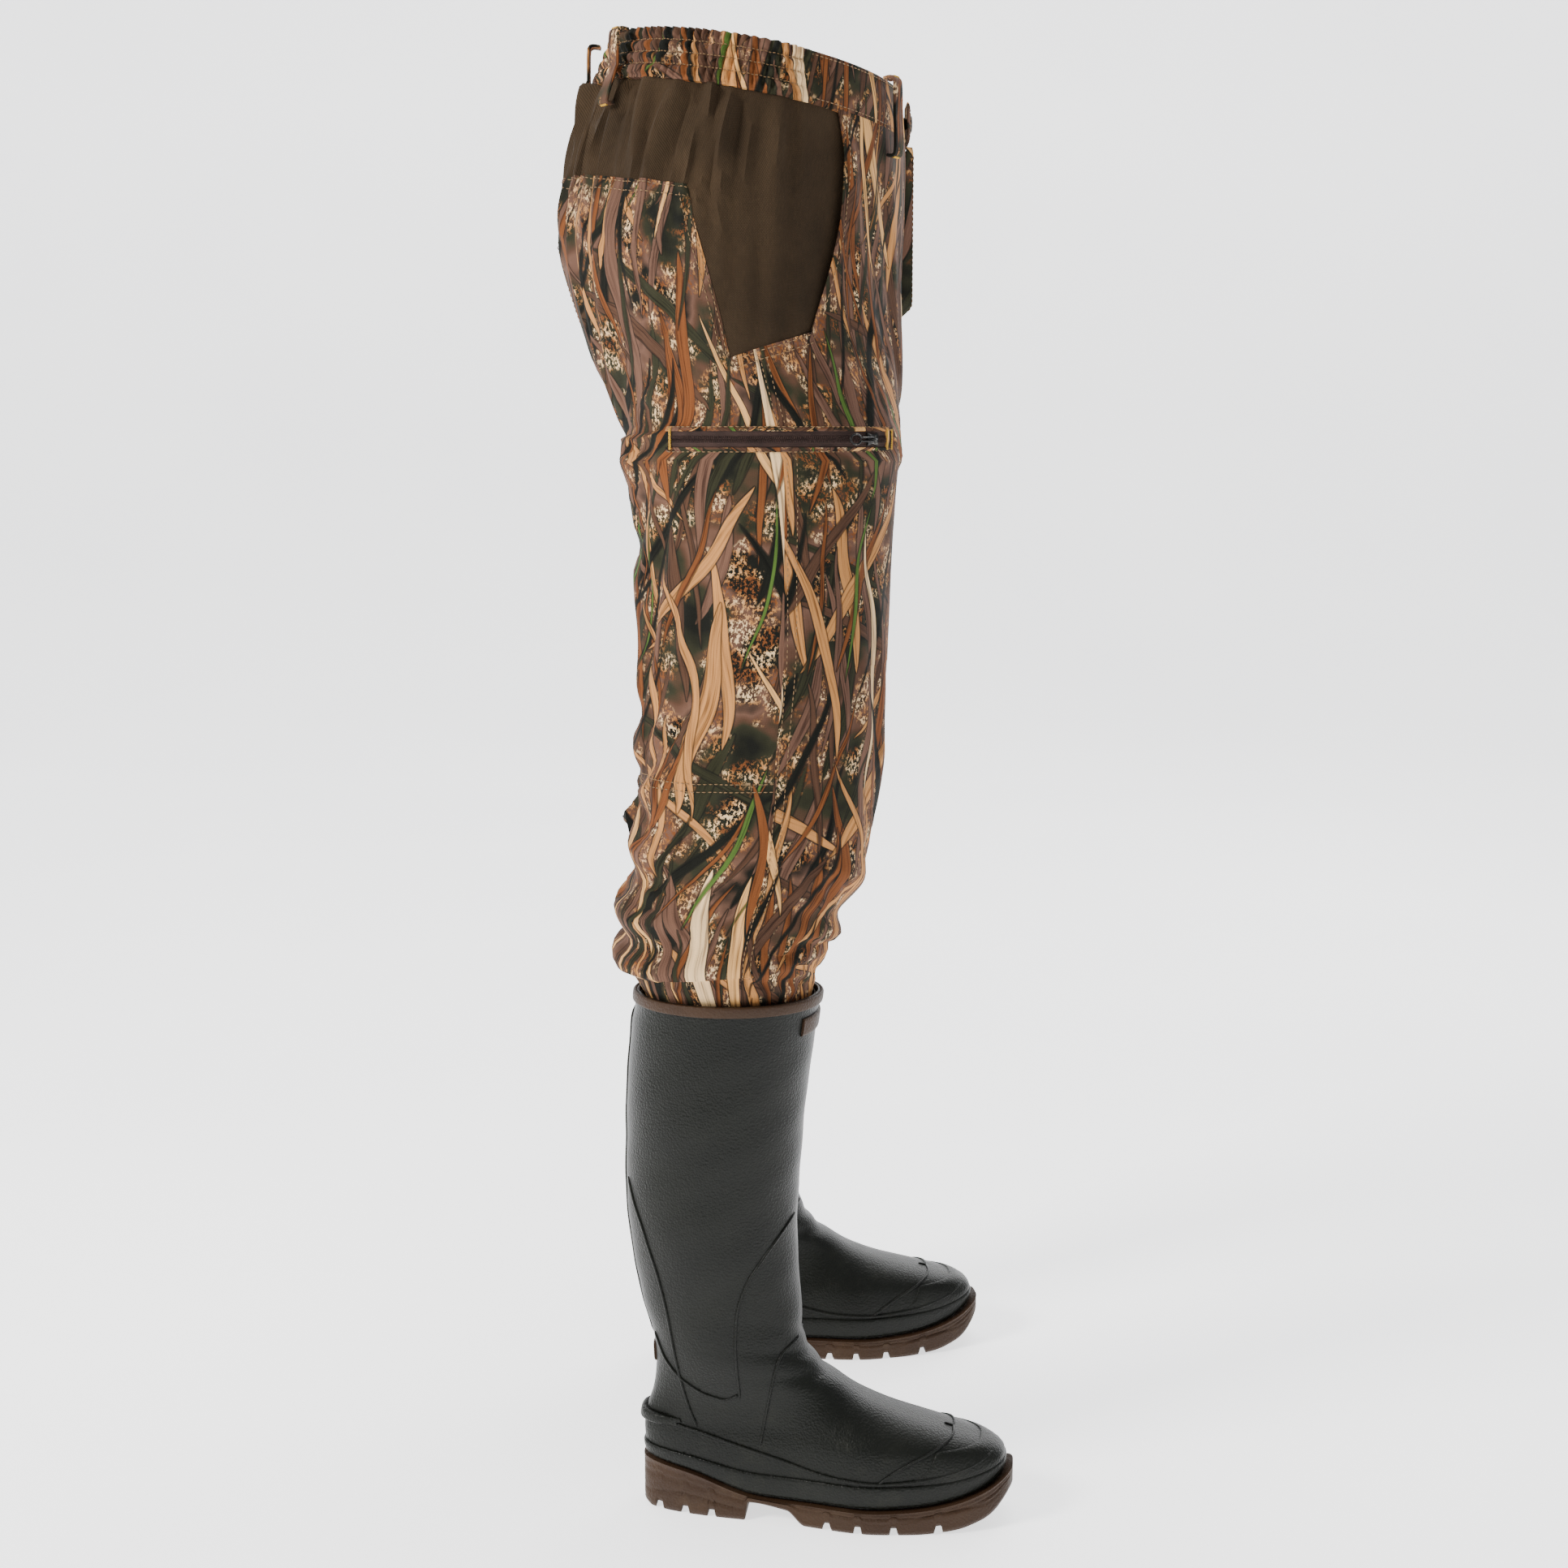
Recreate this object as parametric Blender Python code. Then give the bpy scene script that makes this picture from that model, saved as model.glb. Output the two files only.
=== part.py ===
"""Waist-high trouser waders: camouflage trousers whose legs run into knee-high rubber boots.

Frame: metres, +Z up, +X towards the toes, +Y to the wearer's left, origin under the middle of the
bounding box, on the ground. The left half is modelled and mirrored in Y for the right half.
Run with: blender --background --python part.py
"""

import math

import bmesh
import bpy
import numpy as np

GAP = 0.0003  # clearance between pieces that touch
PLATE_GAP = 0.0006  # clearance under a plate that lies on faceted rubber
SEAM = 0.0004  # clearance between the edges of two sewn panels
CLOTH = 0.0022  # thickness of a trouser panel
WAIST_TILT = -0.18  # the waist drops towards the front, metres of height per metre forward
TILT_PIVOT_X = -0.02
TILT_FADES = (0.95, 1.17)  # levels between which the tilt comes in

# Trouser sections: level, front x, back x, y of the centre, outer and inner half width.
# Above the crotch the two sides meet at y = 0; below it each ring closes round one leg.
TROUSER_SECTIONS = (
    (1.210, 0.100, -0.142, 0.000, 0.172, 0.172),
    (1.170, 0.103, -0.158, 0.000, 0.180, 0.180),
    (1.110, 0.103, -0.181, 0.000, 0.192, 0.192),
    (1.055, 0.101, -0.192, 0.002, 0.198, 0.195),
    (1.000, 0.099, -0.178, 0.012, 0.190, 0.180),
    (0.955, 0.098, -0.158, 0.035, 0.166, 0.142),
    (0.915, 0.097, -0.139, 0.068, 0.132, 0.114),
    (0.885, 0.096, -0.133, 0.092, 0.108, 0.092),
    (0.860, 0.094, -0.128, 0.099, 0.100, 0.092),
    (0.800, 0.090, -0.122, 0.107, 0.096, 0.090),
    (0.730, 0.087, -0.118, 0.116, 0.093, 0.088),
    (0.660, 0.082, -0.124, 0.127, 0.091, 0.086),
    (0.600, 0.075, -0.126, 0.136, 0.088, 0.084),
    (0.550, 0.066, -0.130, 0.143, 0.086, 0.082),
    (0.510, 0.046, -0.134, 0.149, 0.084, 0.080),
    (0.475, 0.033, -0.134, 0.154, 0.079, 0.077),
    (0.458, 0.027, -0.124, 0.157, 0.068, 0.067),
)
CROTCH_LEVEL = 0.885
BAND_LEVELS = (1.170, 1.208)
SIDE_SEAM = 0.475  # place of the side seam, 0 at the front seam and 1 at the back seam

# Edges on the trouser surface, as (place round the body, level).
PELVIS_EDGE_FRONT = ((0.0, 0.888), (0.12, 0.893), (0.20, 0.915), (0.28, 0.950), (0.367, 0.985))
PELVIS_EDGE_SIDE = ((0.367, 0.985), (0.419, 0.978), (0.471, 0.971), (0.523, 0.964))
PELVIS_EDGE_BACK = ((0.523, 0.964), (0.64, 0.962), (0.76, 0.935), (0.88, 0.895), (1.0, 0.888))
YOKE_DIAGONAL = ((0.535, 1.030), (0.573, 1.090))
YOKE_BACK_EDGE = ((0.68, 1.092), (0.787, 1.094), (0.893, 1.096), (1.0, 1.098))
POCKET_MOUTH_MIDDLE = (0.300, 1.078)
POCKET_MOUTH_TOP = 0.320
POCKET_MOUTH_WIDTH = 0.012  # as a share of the way round
SEAT_MIDDLE_LEVEL = 1.030
SEAT_MIDDLE_SHARE = 0.524  # where that level lies between the panel's lower and upper edge
HAND_POCKET_PLACES = ((0.20, 0.32, 0.44), (0.20, 0.31, 0.42))  # bottom row, top row
HAND_POCKET_LEVELS = (1.000, 1.160)
HAND_POCKET_DEPTHS = (0.0045, 0.0063)
ZIP_POCKET_PLACES = (0.32, 0.46, 0.60)
ZIP_POCKET_LEVELS = (0.730, 0.876)
ZIP_POCKET_DEPTHS = (0.0064, 0.0080)
CLOTH_SWEEP = 0.35  # metres of cloth from the front seam to the back seam
THIGH_TOP_FRONT = (
    (0.0, 0.845), (0.12, 0.860), (0.20, 0.882), (0.27, 0.916),
    (0.34, 0.918), (0.40, 0.918), (SIDE_SEAM, 0.918),
)
THIGH_TOP_BACK = (
    (SIDE_SEAM, 0.918), (0.53, 0.918), (0.64, 0.917),
    (0.76, 0.884), (0.88, 0.860), (1.0, 0.845),
)
THIGH_BOTTOM = 0.655
KNEE_BOTTOM = 0.474

# Boot sections: level, front x, back x, half width, before the toe-out turn.
BOOT_SECTIONS = (
    (0.030, 0.185, -0.116, 0.0500),
    (0.045, 0.187, -0.118, 0.0515),
    (0.060, 0.181, -0.119, 0.0510),
    (0.070, 0.167, -0.119, 0.0495),
    (0.078, 0.140, -0.118, 0.0470),
    (0.088, 0.104, -0.116, 0.0450),
    (0.100, 0.074, -0.112, 0.0430),
    (0.118, 0.046, -0.109, 0.0425),
    (0.140, 0.024, -0.109, 0.0430),
    (0.182, 0.015, -0.118, 0.0450),
    (0.223, 0.012, -0.126, 0.0490),
    (0.265, 0.012, -0.130, 0.0535),
    (0.327, 0.016, -0.131, 0.0590),
    (0.388, 0.023, -0.128, 0.0635),
    (0.450, 0.031, -0.123, 0.0670),
)
BOOT_FLAT_LEVEL = 0.075  # rings from here up are level; below they settle onto the sole
BOOT_BASE_LEVEL = 0.030
BOOT_RIM = 0.449
BOOT_WALL = 0.0035
BOOT_Y = 0.168  # centre line of the foot
SHAFT_TOP_Y = 0.158
ANKLE_X = -0.050
TOE_OUT = math.radians(6)
BOOT_SIDES = 24
FOOT_FULLNESS = 0.72  # power of the sine that rounds off the foot; 1 would be an ellipse
FOOT_NARROWING = 0.27  # how much slimmer the heel is than the ball of the foot
BOOT_FLOOR_LEVEL = 0.036
LINING_DEPTHS = (BOOT_WALL + 0.0008, BOOT_WALL + 0.0022)
LINING_FOOT = 0.14
INSOLE_LEVELS = (0.041, 0.047)
CUFF_DEPTH = BOOT_WALL + 0.0032
CUFF_THICKNESS = 0.0014
CUFF_BOOT_LEVELS = (0.372, 0.410, 0.449)
CUFF_BLOUSE_LEVEL = 0.460

# Raised rings round the boot: name, levels, how proud they stand, material.
BOOT_RINGS = (
    ("boot_binding", (0.4365, 0.4485), 0.0026, "brown_rubber"),
    ("rand", (0.0312, 0.0450), 0.0020, "rubber"),
)
# Raised plates: name, first and last corner of the boot's rings, levels, how proud, material.
BOOT_PLATES = (
    ("toe_cap", (-4, 3), (0.0465, 0.0600, 0.0700, 0.0780), 0.0018, "rubber"),
    ("heel_spur", (10, 13), (0.0782, 0.0878), 0.0055, "rubber"),
    ("boot_badge", (-2, 1), (0.4195, 0.4345), 0.0022, "brown_rubber"),
)

# Outsole profile: local x, underside, upper edge.
SOLE_PROFILE = (
    (-0.1190, 0.004, 0.0450),
    (-0.1120, 0.000, 0.0440),
    (-0.0750, 0.000, 0.0380),
    (-0.0250, 0.000, 0.0230),
    (0.0400, 0.000, 0.0205),
    (0.0900, 0.000, 0.0205),
    (0.1300, 0.001, 0.0240),
    (0.1600, 0.006, 0.0310),
    (0.1800, 0.016, 0.0390),
    (0.1945, 0.033, 0.0480),
)
SOLE_LIP = 0.0035  # how far the outsole stands out round the upper
SOLE_SEAT = 0.0016  # clearance under the upper
ARCH = (-0.028, 0.016, 0.016)  # from x, to x, height
HEEL_GROOVES = (-0.104, -0.081, -0.058)
FOREFOOT_GROOVES = (0.041, 0.067, 0.097, 0.134)
GROOVE_WIDTH = 0.005
GROOVE_DEPTH = 0.006
SOLE_STEPS = 22
SOLE_CHAMFER = (0.003, 0.004)  # inwards, upwards

HIP_AXIS = (-0.020, 0.0, 0.960)
KNEE_AXIS = (-0.020, 0.0, 0.555)

ZIP_CENTRE = (-0.0195, 0.0815)  # axis of the arc that the thigh zip follows
ZIP_LEVEL = 0.901
ZIP_RADIUS = 0.1195
ZIP_ARC = (math.radians(28), math.radians(127))
ZIP_REST = math.radians(43)
ZIP_SLIDER_LENGTH = 0.011
ZIP_PULLER_OFFSET = 0.0059  # from the arc of the zip to the back of the puller
ZIP_PULLER_THICKNESS = 0.0010

FLY_X = 0.1042
FLY_TOP = 1.140
FLY_BOTTOM = 1.005
FLY_SLIDER_TOP = 1.136
FLY_SLIDER_SIZE = (0.0027, 0.009, 0.011)
FLY_PULLER_SIZE = (0.0008, 0.006, 0.024)
TAB_X = 0.1045
TAB_EDGES_Y = (-0.020, 0.034)
TAB_HEIGHTS = (1.149, 1.184)
TAB_THICKNESS = 0.0024
SNAP_Y = -0.008
SNAP_Z = 1.166
SNAP_CAP = ((0.0, 0.0070), (0.0012, 0.0070), (0.0022, 0.0050))  # distance out, radius
STUD_RADII = (0.0055, 0.0045)

LOOP_PLACES = {
    "back": 1.0,
    "side_left": 0.80,
    "side_right": 1.20,
    "front_left": 0.17,
    "front_right": 1.83,
}
LOOP_WIDTH = 0.011
LOOP_STANDOFF = 0.0100
LOOP_THICKNESS = 0.0018
LOOP_LEVELS = (1.146, 1.209)
LOOP_FOOT = 0.007
BAND_STANDOFF = 0.0028  # the feet of a loop stand this far off the band

# Strips round the waist: name, material, first turn, outer and inner depth, margins below and above.
WAIST_STRIPS = (
    ("waistband", "camo_fabric", 0.018, 0.0, 0.0028, 0.0, 0.0, 40),
    ("waist_elastic", "elastic", 0.36, 0.0036, 0.0048, 0.004, 0.004, 28),
    ("waist_facing", "lining", 0.018, 0.0056, 0.0066, 0.0, 0.001, 40),
)

# Colour, roughness and metallic value.
MATERIALS = {
    "camo_fabric": ((0.36, 0.24, 0.14), 0.90, 0.0),
    "brown_twill": ((0.055, 0.036, 0.022), 0.88, 0.0),
    "elastic": ((0.10, 0.09, 0.08), 0.85, 0.0),
    "zip_tape": ((0.050, 0.030, 0.024), 0.80, 0.0),
    "zip_metal": ((0.045, 0.045, 0.045), 0.35, 1.0),
    "lining": ((0.06, 0.055, 0.045), 0.92, 0.0),
    "rubber": ((0.027, 0.029, 0.024), 0.42, 0.0),
    "brown_rubber": ((0.075, 0.052, 0.035), 0.50, 0.0),
    "insole_foam": ((0.12, 0.11, 0.10), 0.90, 0.0),
}


def clear_scene():
    for old in list(bpy.data.objects):
        bpy.data.objects.remove(old, do_unlink=True)


def make_material(name):
    colour, roughness, metallic = MATERIALS[name]
    material = bpy.data.materials.new(name)
    material.use_nodes = True
    shader = material.node_tree.nodes["Principled BSDF"]
    shader.inputs["Base Color"].default_value = (*colour, 1.0)
    shader.inputs["Roughness"].default_value = roughness
    shader.inputs["Metallic"].default_value = metallic
    return material


def make_body(name, place):
    """An empty on the joint's axis, which a body's pieces hang from."""
    empty = bpy.data.objects.new(name, None)
    empty.location = place
    bpy.context.scene.collection.objects.link(empty)
    return empty


def smooth_table(rows):
    """A cubic curve through the rows of a table, column by column, against the first column."""
    table = np.array(sorted(rows), float)
    keys, values = table[:, 0], table[:, 1:]
    slopes = np.gradient(values, keys, axis=0)

    def at(key):
        key = min(max(key, keys[0]), keys[-1])
        i = min(int(np.searchsorted(keys, key, side="right")) - 1, len(keys) - 2)
        step = keys[i + 1] - keys[i]
        t = (key - keys[i]) / step
        start = (2 * t**3 - 3 * t**2 + 1) * values[i] + (t**3 - 2 * t**2 + t) * step * slopes[i]
        end = (3 * t**2 - 2 * t**3) * values[i + 1] + (t**3 - t**2) * step * slopes[i + 1]
        return start + end

    return at


trouser_section = smooth_table(TROUSER_SECTIONS)
boot_section = smooth_table(BOOT_SECTIONS)
sole_profile = smooth_table(SOLE_PROFILE)


def ease(value, low, high):
    t = min(max((value - low) / (high - low), 0.0), 1.0)
    return t * t * (3 - 2 * t)


def offset_inwards(surface, u, v, depth, step=1e-4):
    """The point of surface(u, v) moved by depth against the outward normal."""
    here = surface(u, v)
    if depth == 0:
        return here
    along = surface(u + step, v) - surface(u - step, v)
    up = surface(u, v + step) - surface(u, v - step)
    normal = np.cross(along, up)
    return here - depth * normal / np.linalg.norm(normal)


def trouser_surface(place, level):
    """Left side. place runs 0..1 from the front seam by the outside to the back seam, or round a leg."""
    front, back, centre_y, outer, inner = trouser_section(level)
    if level > CROTCH_LEVEL and centre_y < inner:
        first = -math.asin(centre_y / inner)
    else:
        first = -math.pi / 2
    angle = first + place * (math.pi - 2 * first)
    width = outer if math.sin(angle) > 0 else inner
    x = (front + back) / 2 + (front - back) / 2 * math.cos(angle)
    y = centre_y + width * math.sin(angle)
    tilt = WAIST_TILT * ease(level, *TILT_FADES)
    return np.array((x, y, level + tilt * (x - TILT_PIVOT_X)))


def trouser_point(side, place, level, depth=0.0):
    point = offset_inwards(trouser_surface, place, level, depth)
    return np.array((point[0], side * max(point[1], GAP), point[2]))


def trunk_point(turn, level, depth=0.0):
    """Round the whole trunk: turn runs 0..1 down the left side and 1..2 back along the right."""
    side, place = (1, turn) if turn <= 1 else (-1, 2 - turn)
    point = offset_inwards(trouser_surface, place, level, depth)
    return np.array((point[0], side * max(point[1], 0.0), point[2]))


def toe_out(x, y):
    """Turns a point of the boot, given about its own centre line, by the toe-out angle."""
    cos, sin = math.cos(TOE_OUT), math.sin(TOE_OUT)
    away = x - ANKLE_X
    return ANKLE_X + away * cos - y * sin, away * sin + y * cos


def foot_taper(x, level):
    """Narrows the heel and the arch of the foot; the shaft isn't tapered."""
    return 1 - FOOT_NARROWING * (1 - ease(x, -0.01, 0.085)) * (1 - ease(level, 0.08, 0.15))


def boot_outline(angle, level):
    """Local x and y of the boot's outside at an angle from the toe."""
    front, back, half_width = boot_section(level)
    fullness = FOOT_FULLNESS + (1 - FOOT_FULLNESS) * ease(level, 0.09, 0.16)
    x = (front + back) / 2 + (front - back) / 2 * math.cos(angle)
    swing = math.copysign(abs(math.sin(angle)) ** fullness, math.sin(angle))
    return x, half_width * swing * foot_taper(x, level)


def settled_height(x, level):
    """Rings below the flat level follow the upper edge of the outsole."""
    if level >= BOOT_FLAT_LEVEL:
        return level
    base = sole_profile(x)[1] + SOLE_SEAT
    share = (level - BOOT_BASE_LEVEL) / (BOOT_FLAT_LEVEL - BOOT_BASE_LEVEL)
    return base + share * (BOOT_FLAT_LEVEL - base)


def boot_surface(angle, level):
    x, y = boot_outline(angle, level)
    z = settled_height(x, level)
    x, y = toe_out(x, y)
    centre_y = BOOT_Y + (SHAFT_TOP_Y - BOOT_Y) * ease(level, 0.12, BOOT_RIM)
    return np.array((x, centre_y + y, z))


def ring_angle(corner):
    return 2 * math.pi * (corner + 0.5) / BOOT_SIDES


def boot_ring(side, level, depth):
    angles = [ring_angle(i) for i in range(BOOT_SIDES)]
    return [offset_inwards(boot_surface, angle, level, depth) * (1, side, 1) for angle in angles]


def add_piece(name, points, faces, material, body):
    """A closed solid from world points, hung from the body's empty."""
    home = np.array(BODIES[body].location)
    mesh = bpy.data.meshes.new(name)
    mesh.from_pydata([tuple(np.array(p) - home) for p in points], [], faces)
    edit = bmesh.new()
    edit.from_mesh(mesh)
    bmesh.ops.recalc_face_normals(edit, faces=edit.faces)
    edit.to_mesh(mesh)
    edit.free()
    mesh.materials.append(SHADERS[material])
    mesh.shade_smooth()
    mesh.set_sharp_from_angle(angle=math.radians(40))
    piece = bpy.data.objects.new(name, mesh)
    piece.parent = BODIES[body]
    bpy.context.scene.collection.objects.link(piece)
    return piece


def grid_shell(outer, inner, wrap=False):
    """Points and faces of the solid between two grids of the same size."""
    rows, columns = len(outer), len(outer[0])
    points = [p for row in outer for p in row] + [p for row in inner for p in row]
    far = rows * columns
    faces = []
    last = columns if wrap else columns - 1
    for r in range(rows - 1):
        for c in range(last):
            a, b = r * columns + c, r * columns + (c + 1) % columns
            faces.append((a, b, b + columns, a + columns))
            faces.append((far + a, far + a + columns, far + b + columns, far + b))
    for c in range(last):
        n = (c + 1) % columns
        top = (rows - 1) * columns
        faces.append((n, c, far + c, far + n))
        faces.append((top + c, top + n, far + top + n, far + top + c))
    if not wrap:
        for r in range(rows - 1):
            a, b = r * columns, (r + 1) * columns
            faces.append((a, b, far + b, far + a))
            end, far_end = columns - 1, far + columns - 1
            faces.append((a + end, a + far_end, b + far_end, b + end))
    return points, faces


def spread(controls, cells):
    """Splits each stretch between control points into equal cells."""
    controls = [np.array(c, float) for c in controls]
    found = [controls[0]]
    for a, b in zip(controls, controls[1:]):
        found += [a + (b - a) * (i + 1) / cells for i in range(cells)]
    return found


def patch_places(control_rows, cells, bands):
    """A grid of (place, level) through the control rows, drawn in by half a seam at every edge."""
    rows = [spread(row, cells) for row in control_rows]
    columns = [spread(column, bands) for column in zip(*rows)]
    grid = np.array(columns).transpose(1, 0, 2)
    grid[0, :, 1] += SEAM / 2
    grid[-1, :, 1] -= SEAM / 2
    sideways = SEAM / 2 / CLOTH_SWEEP
    grid[:, 0, 0] += sideways
    grid[:, -1, 0] -= sideways
    return grid


def trouser_patch(name, side, control_rows, material, body, bands=3, depths=(0.0, CLOTH)):
    grid = patch_places(control_rows, 2, bands)
    layers = []
    for depth in depths:
        layers.append([[trouser_point(side, *spot, depth) for spot in row] for row in grid])
    return add_piece(name, *grid_shell(*layers), material, body)


def sweep(sections):
    """Points and faces of a solid through equal closed sections, capped at both ends."""
    count = len(sections[0])
    points = [p for section in sections for p in section]
    faces = []
    for s in range(len(sections) - 1):
        for i in range(count):
            a, b = s * count + i, s * count + (i + 1) % count
            faces.append((a, b, b + count, a + count))
    faces.append(tuple(range(count))[::-1])
    faces.append(tuple(range((len(sections) - 1) * count, len(sections) * count)))
    return points, faces


def ladder(ring, start):
    """Faces across a ring that mirrors itself left to right, as rungs of a ladder."""
    count = len(ring)
    faces = []
    for i in range(count // 2 - 1):
        faces.append((start + i, start + i + 1, start + count - 2 - i, start + count - 1 - i))
    return faces


def cup(outer_rings, inner_rings):
    """Points and faces of a vessel: rings from its floor to its rim, outside and inside."""
    count = len(outer_rings[0])
    rings = outer_rings + inner_rings[::-1]
    points = [p for ring in rings for p in ring]
    faces = []
    for r in range(len(rings) - 1):
        for i in range(count):
            a, b = r * count + i, r * count + (i + 1) % count
            faces.append((a, b, b + count, a + count))
    faces += ladder(rings[0], 0)
    faces += ladder(rings[-1], (len(rings) - 1) * count)
    return points, faces


def make_waist():
    low, high = BAND_LEVELS
    low += SEAM / 2
    for name, material, start, outer, inner, below, above, cells in WAIST_STRIPS:
        turns = np.linspace(start, 2 - start, cells + 1)
        levels = (low + below, high - above)
        layers = []
        for depth in (outer, inner):
            layers.append([[trunk_point(t, level, depth) for t in turns] for level in levels])
        add_piece(name, *grid_shell(*layers), material, "trousers")


def make_belt_loop(name, turn):
    """A strap that leaves the band near its top, stands off it and comes back below it."""
    bottom, top = LOOP_LEVELS
    middle = (bottom + top) / 2
    stand = LOOP_STANDOFF + LOOP_THICKNESS
    outline = (
        (GAP, top), (stand * 0.7, top), (stand, top - 0.004), (stand, bottom + 0.006),
        (stand * 0.7, bottom), (GAP, bottom), (GAP, bottom + LOOP_FOOT),
        (LOOP_STANDOFF, bottom + LOOP_FOOT + 0.003), (LOOP_STANDOFF, top - LOOP_FOOT),
        (GAP, top - LOOP_FOOT),
    )
    base = trunk_point(turn, middle)
    ahead = trunk_point(turn - 0.01, middle) - trunk_point(turn + 0.01, middle)
    ahead[2] = 0
    tangent = ahead / np.linalg.norm(ahead)
    outward = np.cross(tangent, (0, 0, 1))
    if np.dot(outward, base - (TILT_PIVOT_X, 0, base[2])) < 0:
        outward = -outward
    sections = []
    for along in (-LOOP_WIDTH / 2, LOOP_WIDTH / 2):
        section = []
        for off, level in outline:
            surface = trunk_point(turn, level)
            proud = off + GAP + (BAND_STANDOFF if off == GAP else 0)
            reach = max(np.dot(surface - base, outward), 0.0)
            rise = np.array((0, 0, surface[2] - base[2]))
            section.append(base + tangent * along + outward * (proud + reach) + rise)
        sections.append(section)
    add_piece(name, *sweep(sections), "camo_fabric", "trousers")


def box_points(low, high):
    x, y, z = zip(low, high)
    section = [(x[0], y[0]), (x[1], y[0]), (x[1], y[1]), (x[0], y[1])]
    return [[(a, b, c) for a, b in section] for c in z]


def make_front_closure():
    near_y, far_y = TAB_EDGES_Y
    low, high = TAB_HEIGHTS
    tab = box_points((TAB_X, near_y, low), (TAB_X + TAB_THICKNESS, far_y, high))
    add_piece("waist_tab", *sweep(tab), "camo_fabric", "waist_tab")
    cap = discs(TAB_X + TAB_THICKNESS + GAP, SNAP_CAP)
    add_piece("snap_cap", *sweep(cap), "zip_metal", "waist_tab")
    stud_face = trunk_point(0.02, 1.189)[0] + GAP
    stud = discs(stud_face, ((0.0, STUD_RADII[0]), (TAB_X - GAP - stud_face, STUD_RADII[1])))
    add_piece("snap_stud", *sweep(stud), "zip_metal", "trousers")

    # The flap's section: its free edge lies over the zip, its root on the left front.
    flap = (
        (0.022, 0.0), (0.020, 0.0068), (-0.012, 0.0068),
        (-0.012, 0.0056), (0.0188, 0.0056), (0.0204, 0.0),
    )
    heights = (FLY_BOTTOM, low - 0.002)
    sections = [[(FLY_X + off, y, z) for y, off in flap] for z in heights]
    add_piece("fly_flap", *sweep(sections), "camo_fabric", "trousers")
    tape = box_points((FLY_X, -0.011, FLY_BOTTOM + 0.004), (FLY_X + 0.0010, 0.011, FLY_TOP))
    add_piece("fly_zip_tape", *sweep(tape), "zip_tape", "trousers")
    add_hanging_block("fly_slider", FLY_X + 0.0013, FLY_SLIDER_TOP, FLY_SLIDER_SIZE)
    pull_top = FLY_SLIDER_TOP - FLY_SLIDER_SIZE[2] - GAP
    add_hanging_block("fly_puller", FLY_X + 0.0016, pull_top, FLY_PULLER_SIZE)


def add_hanging_block(name, x, top, size):
    """A metal block on the fly's middle line, which has a body of its own name."""
    depth, width, height = size
    block = box_points((x, -width / 2, top - height), (x + depth, width / 2, top))
    add_piece(name, *sweep(block), "zip_metal", name)


def discs(face_x, steps, sides=16):
    """Sections of a turned piece on the snap's axis: (distance from the face, radius)."""
    sections = []
    for off, radius in steps:
        turns = [2 * math.pi * i / sides for i in range(sides)]
        ring = [(SNAP_Y + radius * math.cos(t), SNAP_Z + radius * math.sin(t)) for t in turns]
        sections.append([(face_x + off, y, z) for y, z in ring])
    return sections


def make_pelvis(side, word):
    share = np.linspace(0, 1, len(PELVIS_EDGE_FRONT))
    middle = [(s * POCKET_MOUTH_MIDDLE[0], POCKET_MOUTH_MIDDLE[1]) for s in share]
    top = [(s * POCKET_MOUTH_TOP, BAND_LEVELS[0]) for s in share]
    front = (PELVIS_EDGE_FRONT, middle, top)
    trouser_patch(f"front_panel_{word}", side, front, "camo_fabric", "trousers", bands=2)

    lower = PELVIS_EDGE_SIDE + YOKE_DIAGONAL + YOKE_BACK_EDGE
    corner = YOKE_DIAGONAL[-1][0]
    beside = np.linspace(POCKET_MOUTH_TOP, corner, len(lower) - len(YOKE_BACK_EDGE))
    upper_places = np.concatenate([beside, [place for place, _ in YOKE_BACK_EDGE]])
    upper = [(place, BAND_LEVELS[0]) for place in upper_places]
    half = (np.array(lower) + np.array(upper)) / 2
    half[0] = POCKET_MOUTH_MIDDLE
    upper[0] = (upper[0][0] + POCKET_MOUTH_WIDTH, upper[0][1])
    half[0, 0] += POCKET_MOUTH_WIDTH
    yoke = (lower, half, upper)
    trouser_patch(f"yoke_panel_{word}", side, yoke, "brown_twill", "trousers", bands=2)

    seat_top = (YOKE_DIAGONAL[-1],) + YOKE_BACK_EDGE
    seat_middle = []
    for (low_place, _), (top_place, _) in zip(PELVIS_EDGE_BACK, seat_top):
        place = low_place + (top_place - low_place) * SEAT_MIDDLE_SHARE
        seat_middle.append((place, SEAT_MIDDLE_LEVEL))
    seat_middle[0] = YOKE_DIAGONAL[0]
    seat = (PELVIS_EDGE_BACK, seat_middle, seat_top)
    trouser_patch(f"seat_panel_{word}", side, seat, "camo_fabric", "trousers")

    rows = zip(HAND_POCKET_PLACES, HAND_POCKET_LEVELS)
    bag = [[(place, level) for place in places] for places, level in rows]
    name = f"hand_pocket_bag_{word}"
    trouser_patch(name, side, bag, "lining", "trousers", depths=HAND_POCKET_DEPTHS)

    low = THIGH_TOP_FRONT + THIGH_TOP_BACK[1:]
    high = PELVIS_EDGE_FRONT + PELVIS_EDGE_SIDE[1:] + PELVIS_EDGE_BACK[1:]
    trouser_patch(f"hip_section_{word}", side, (low, high), "camo_fabric", "trousers", bands=2)


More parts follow.
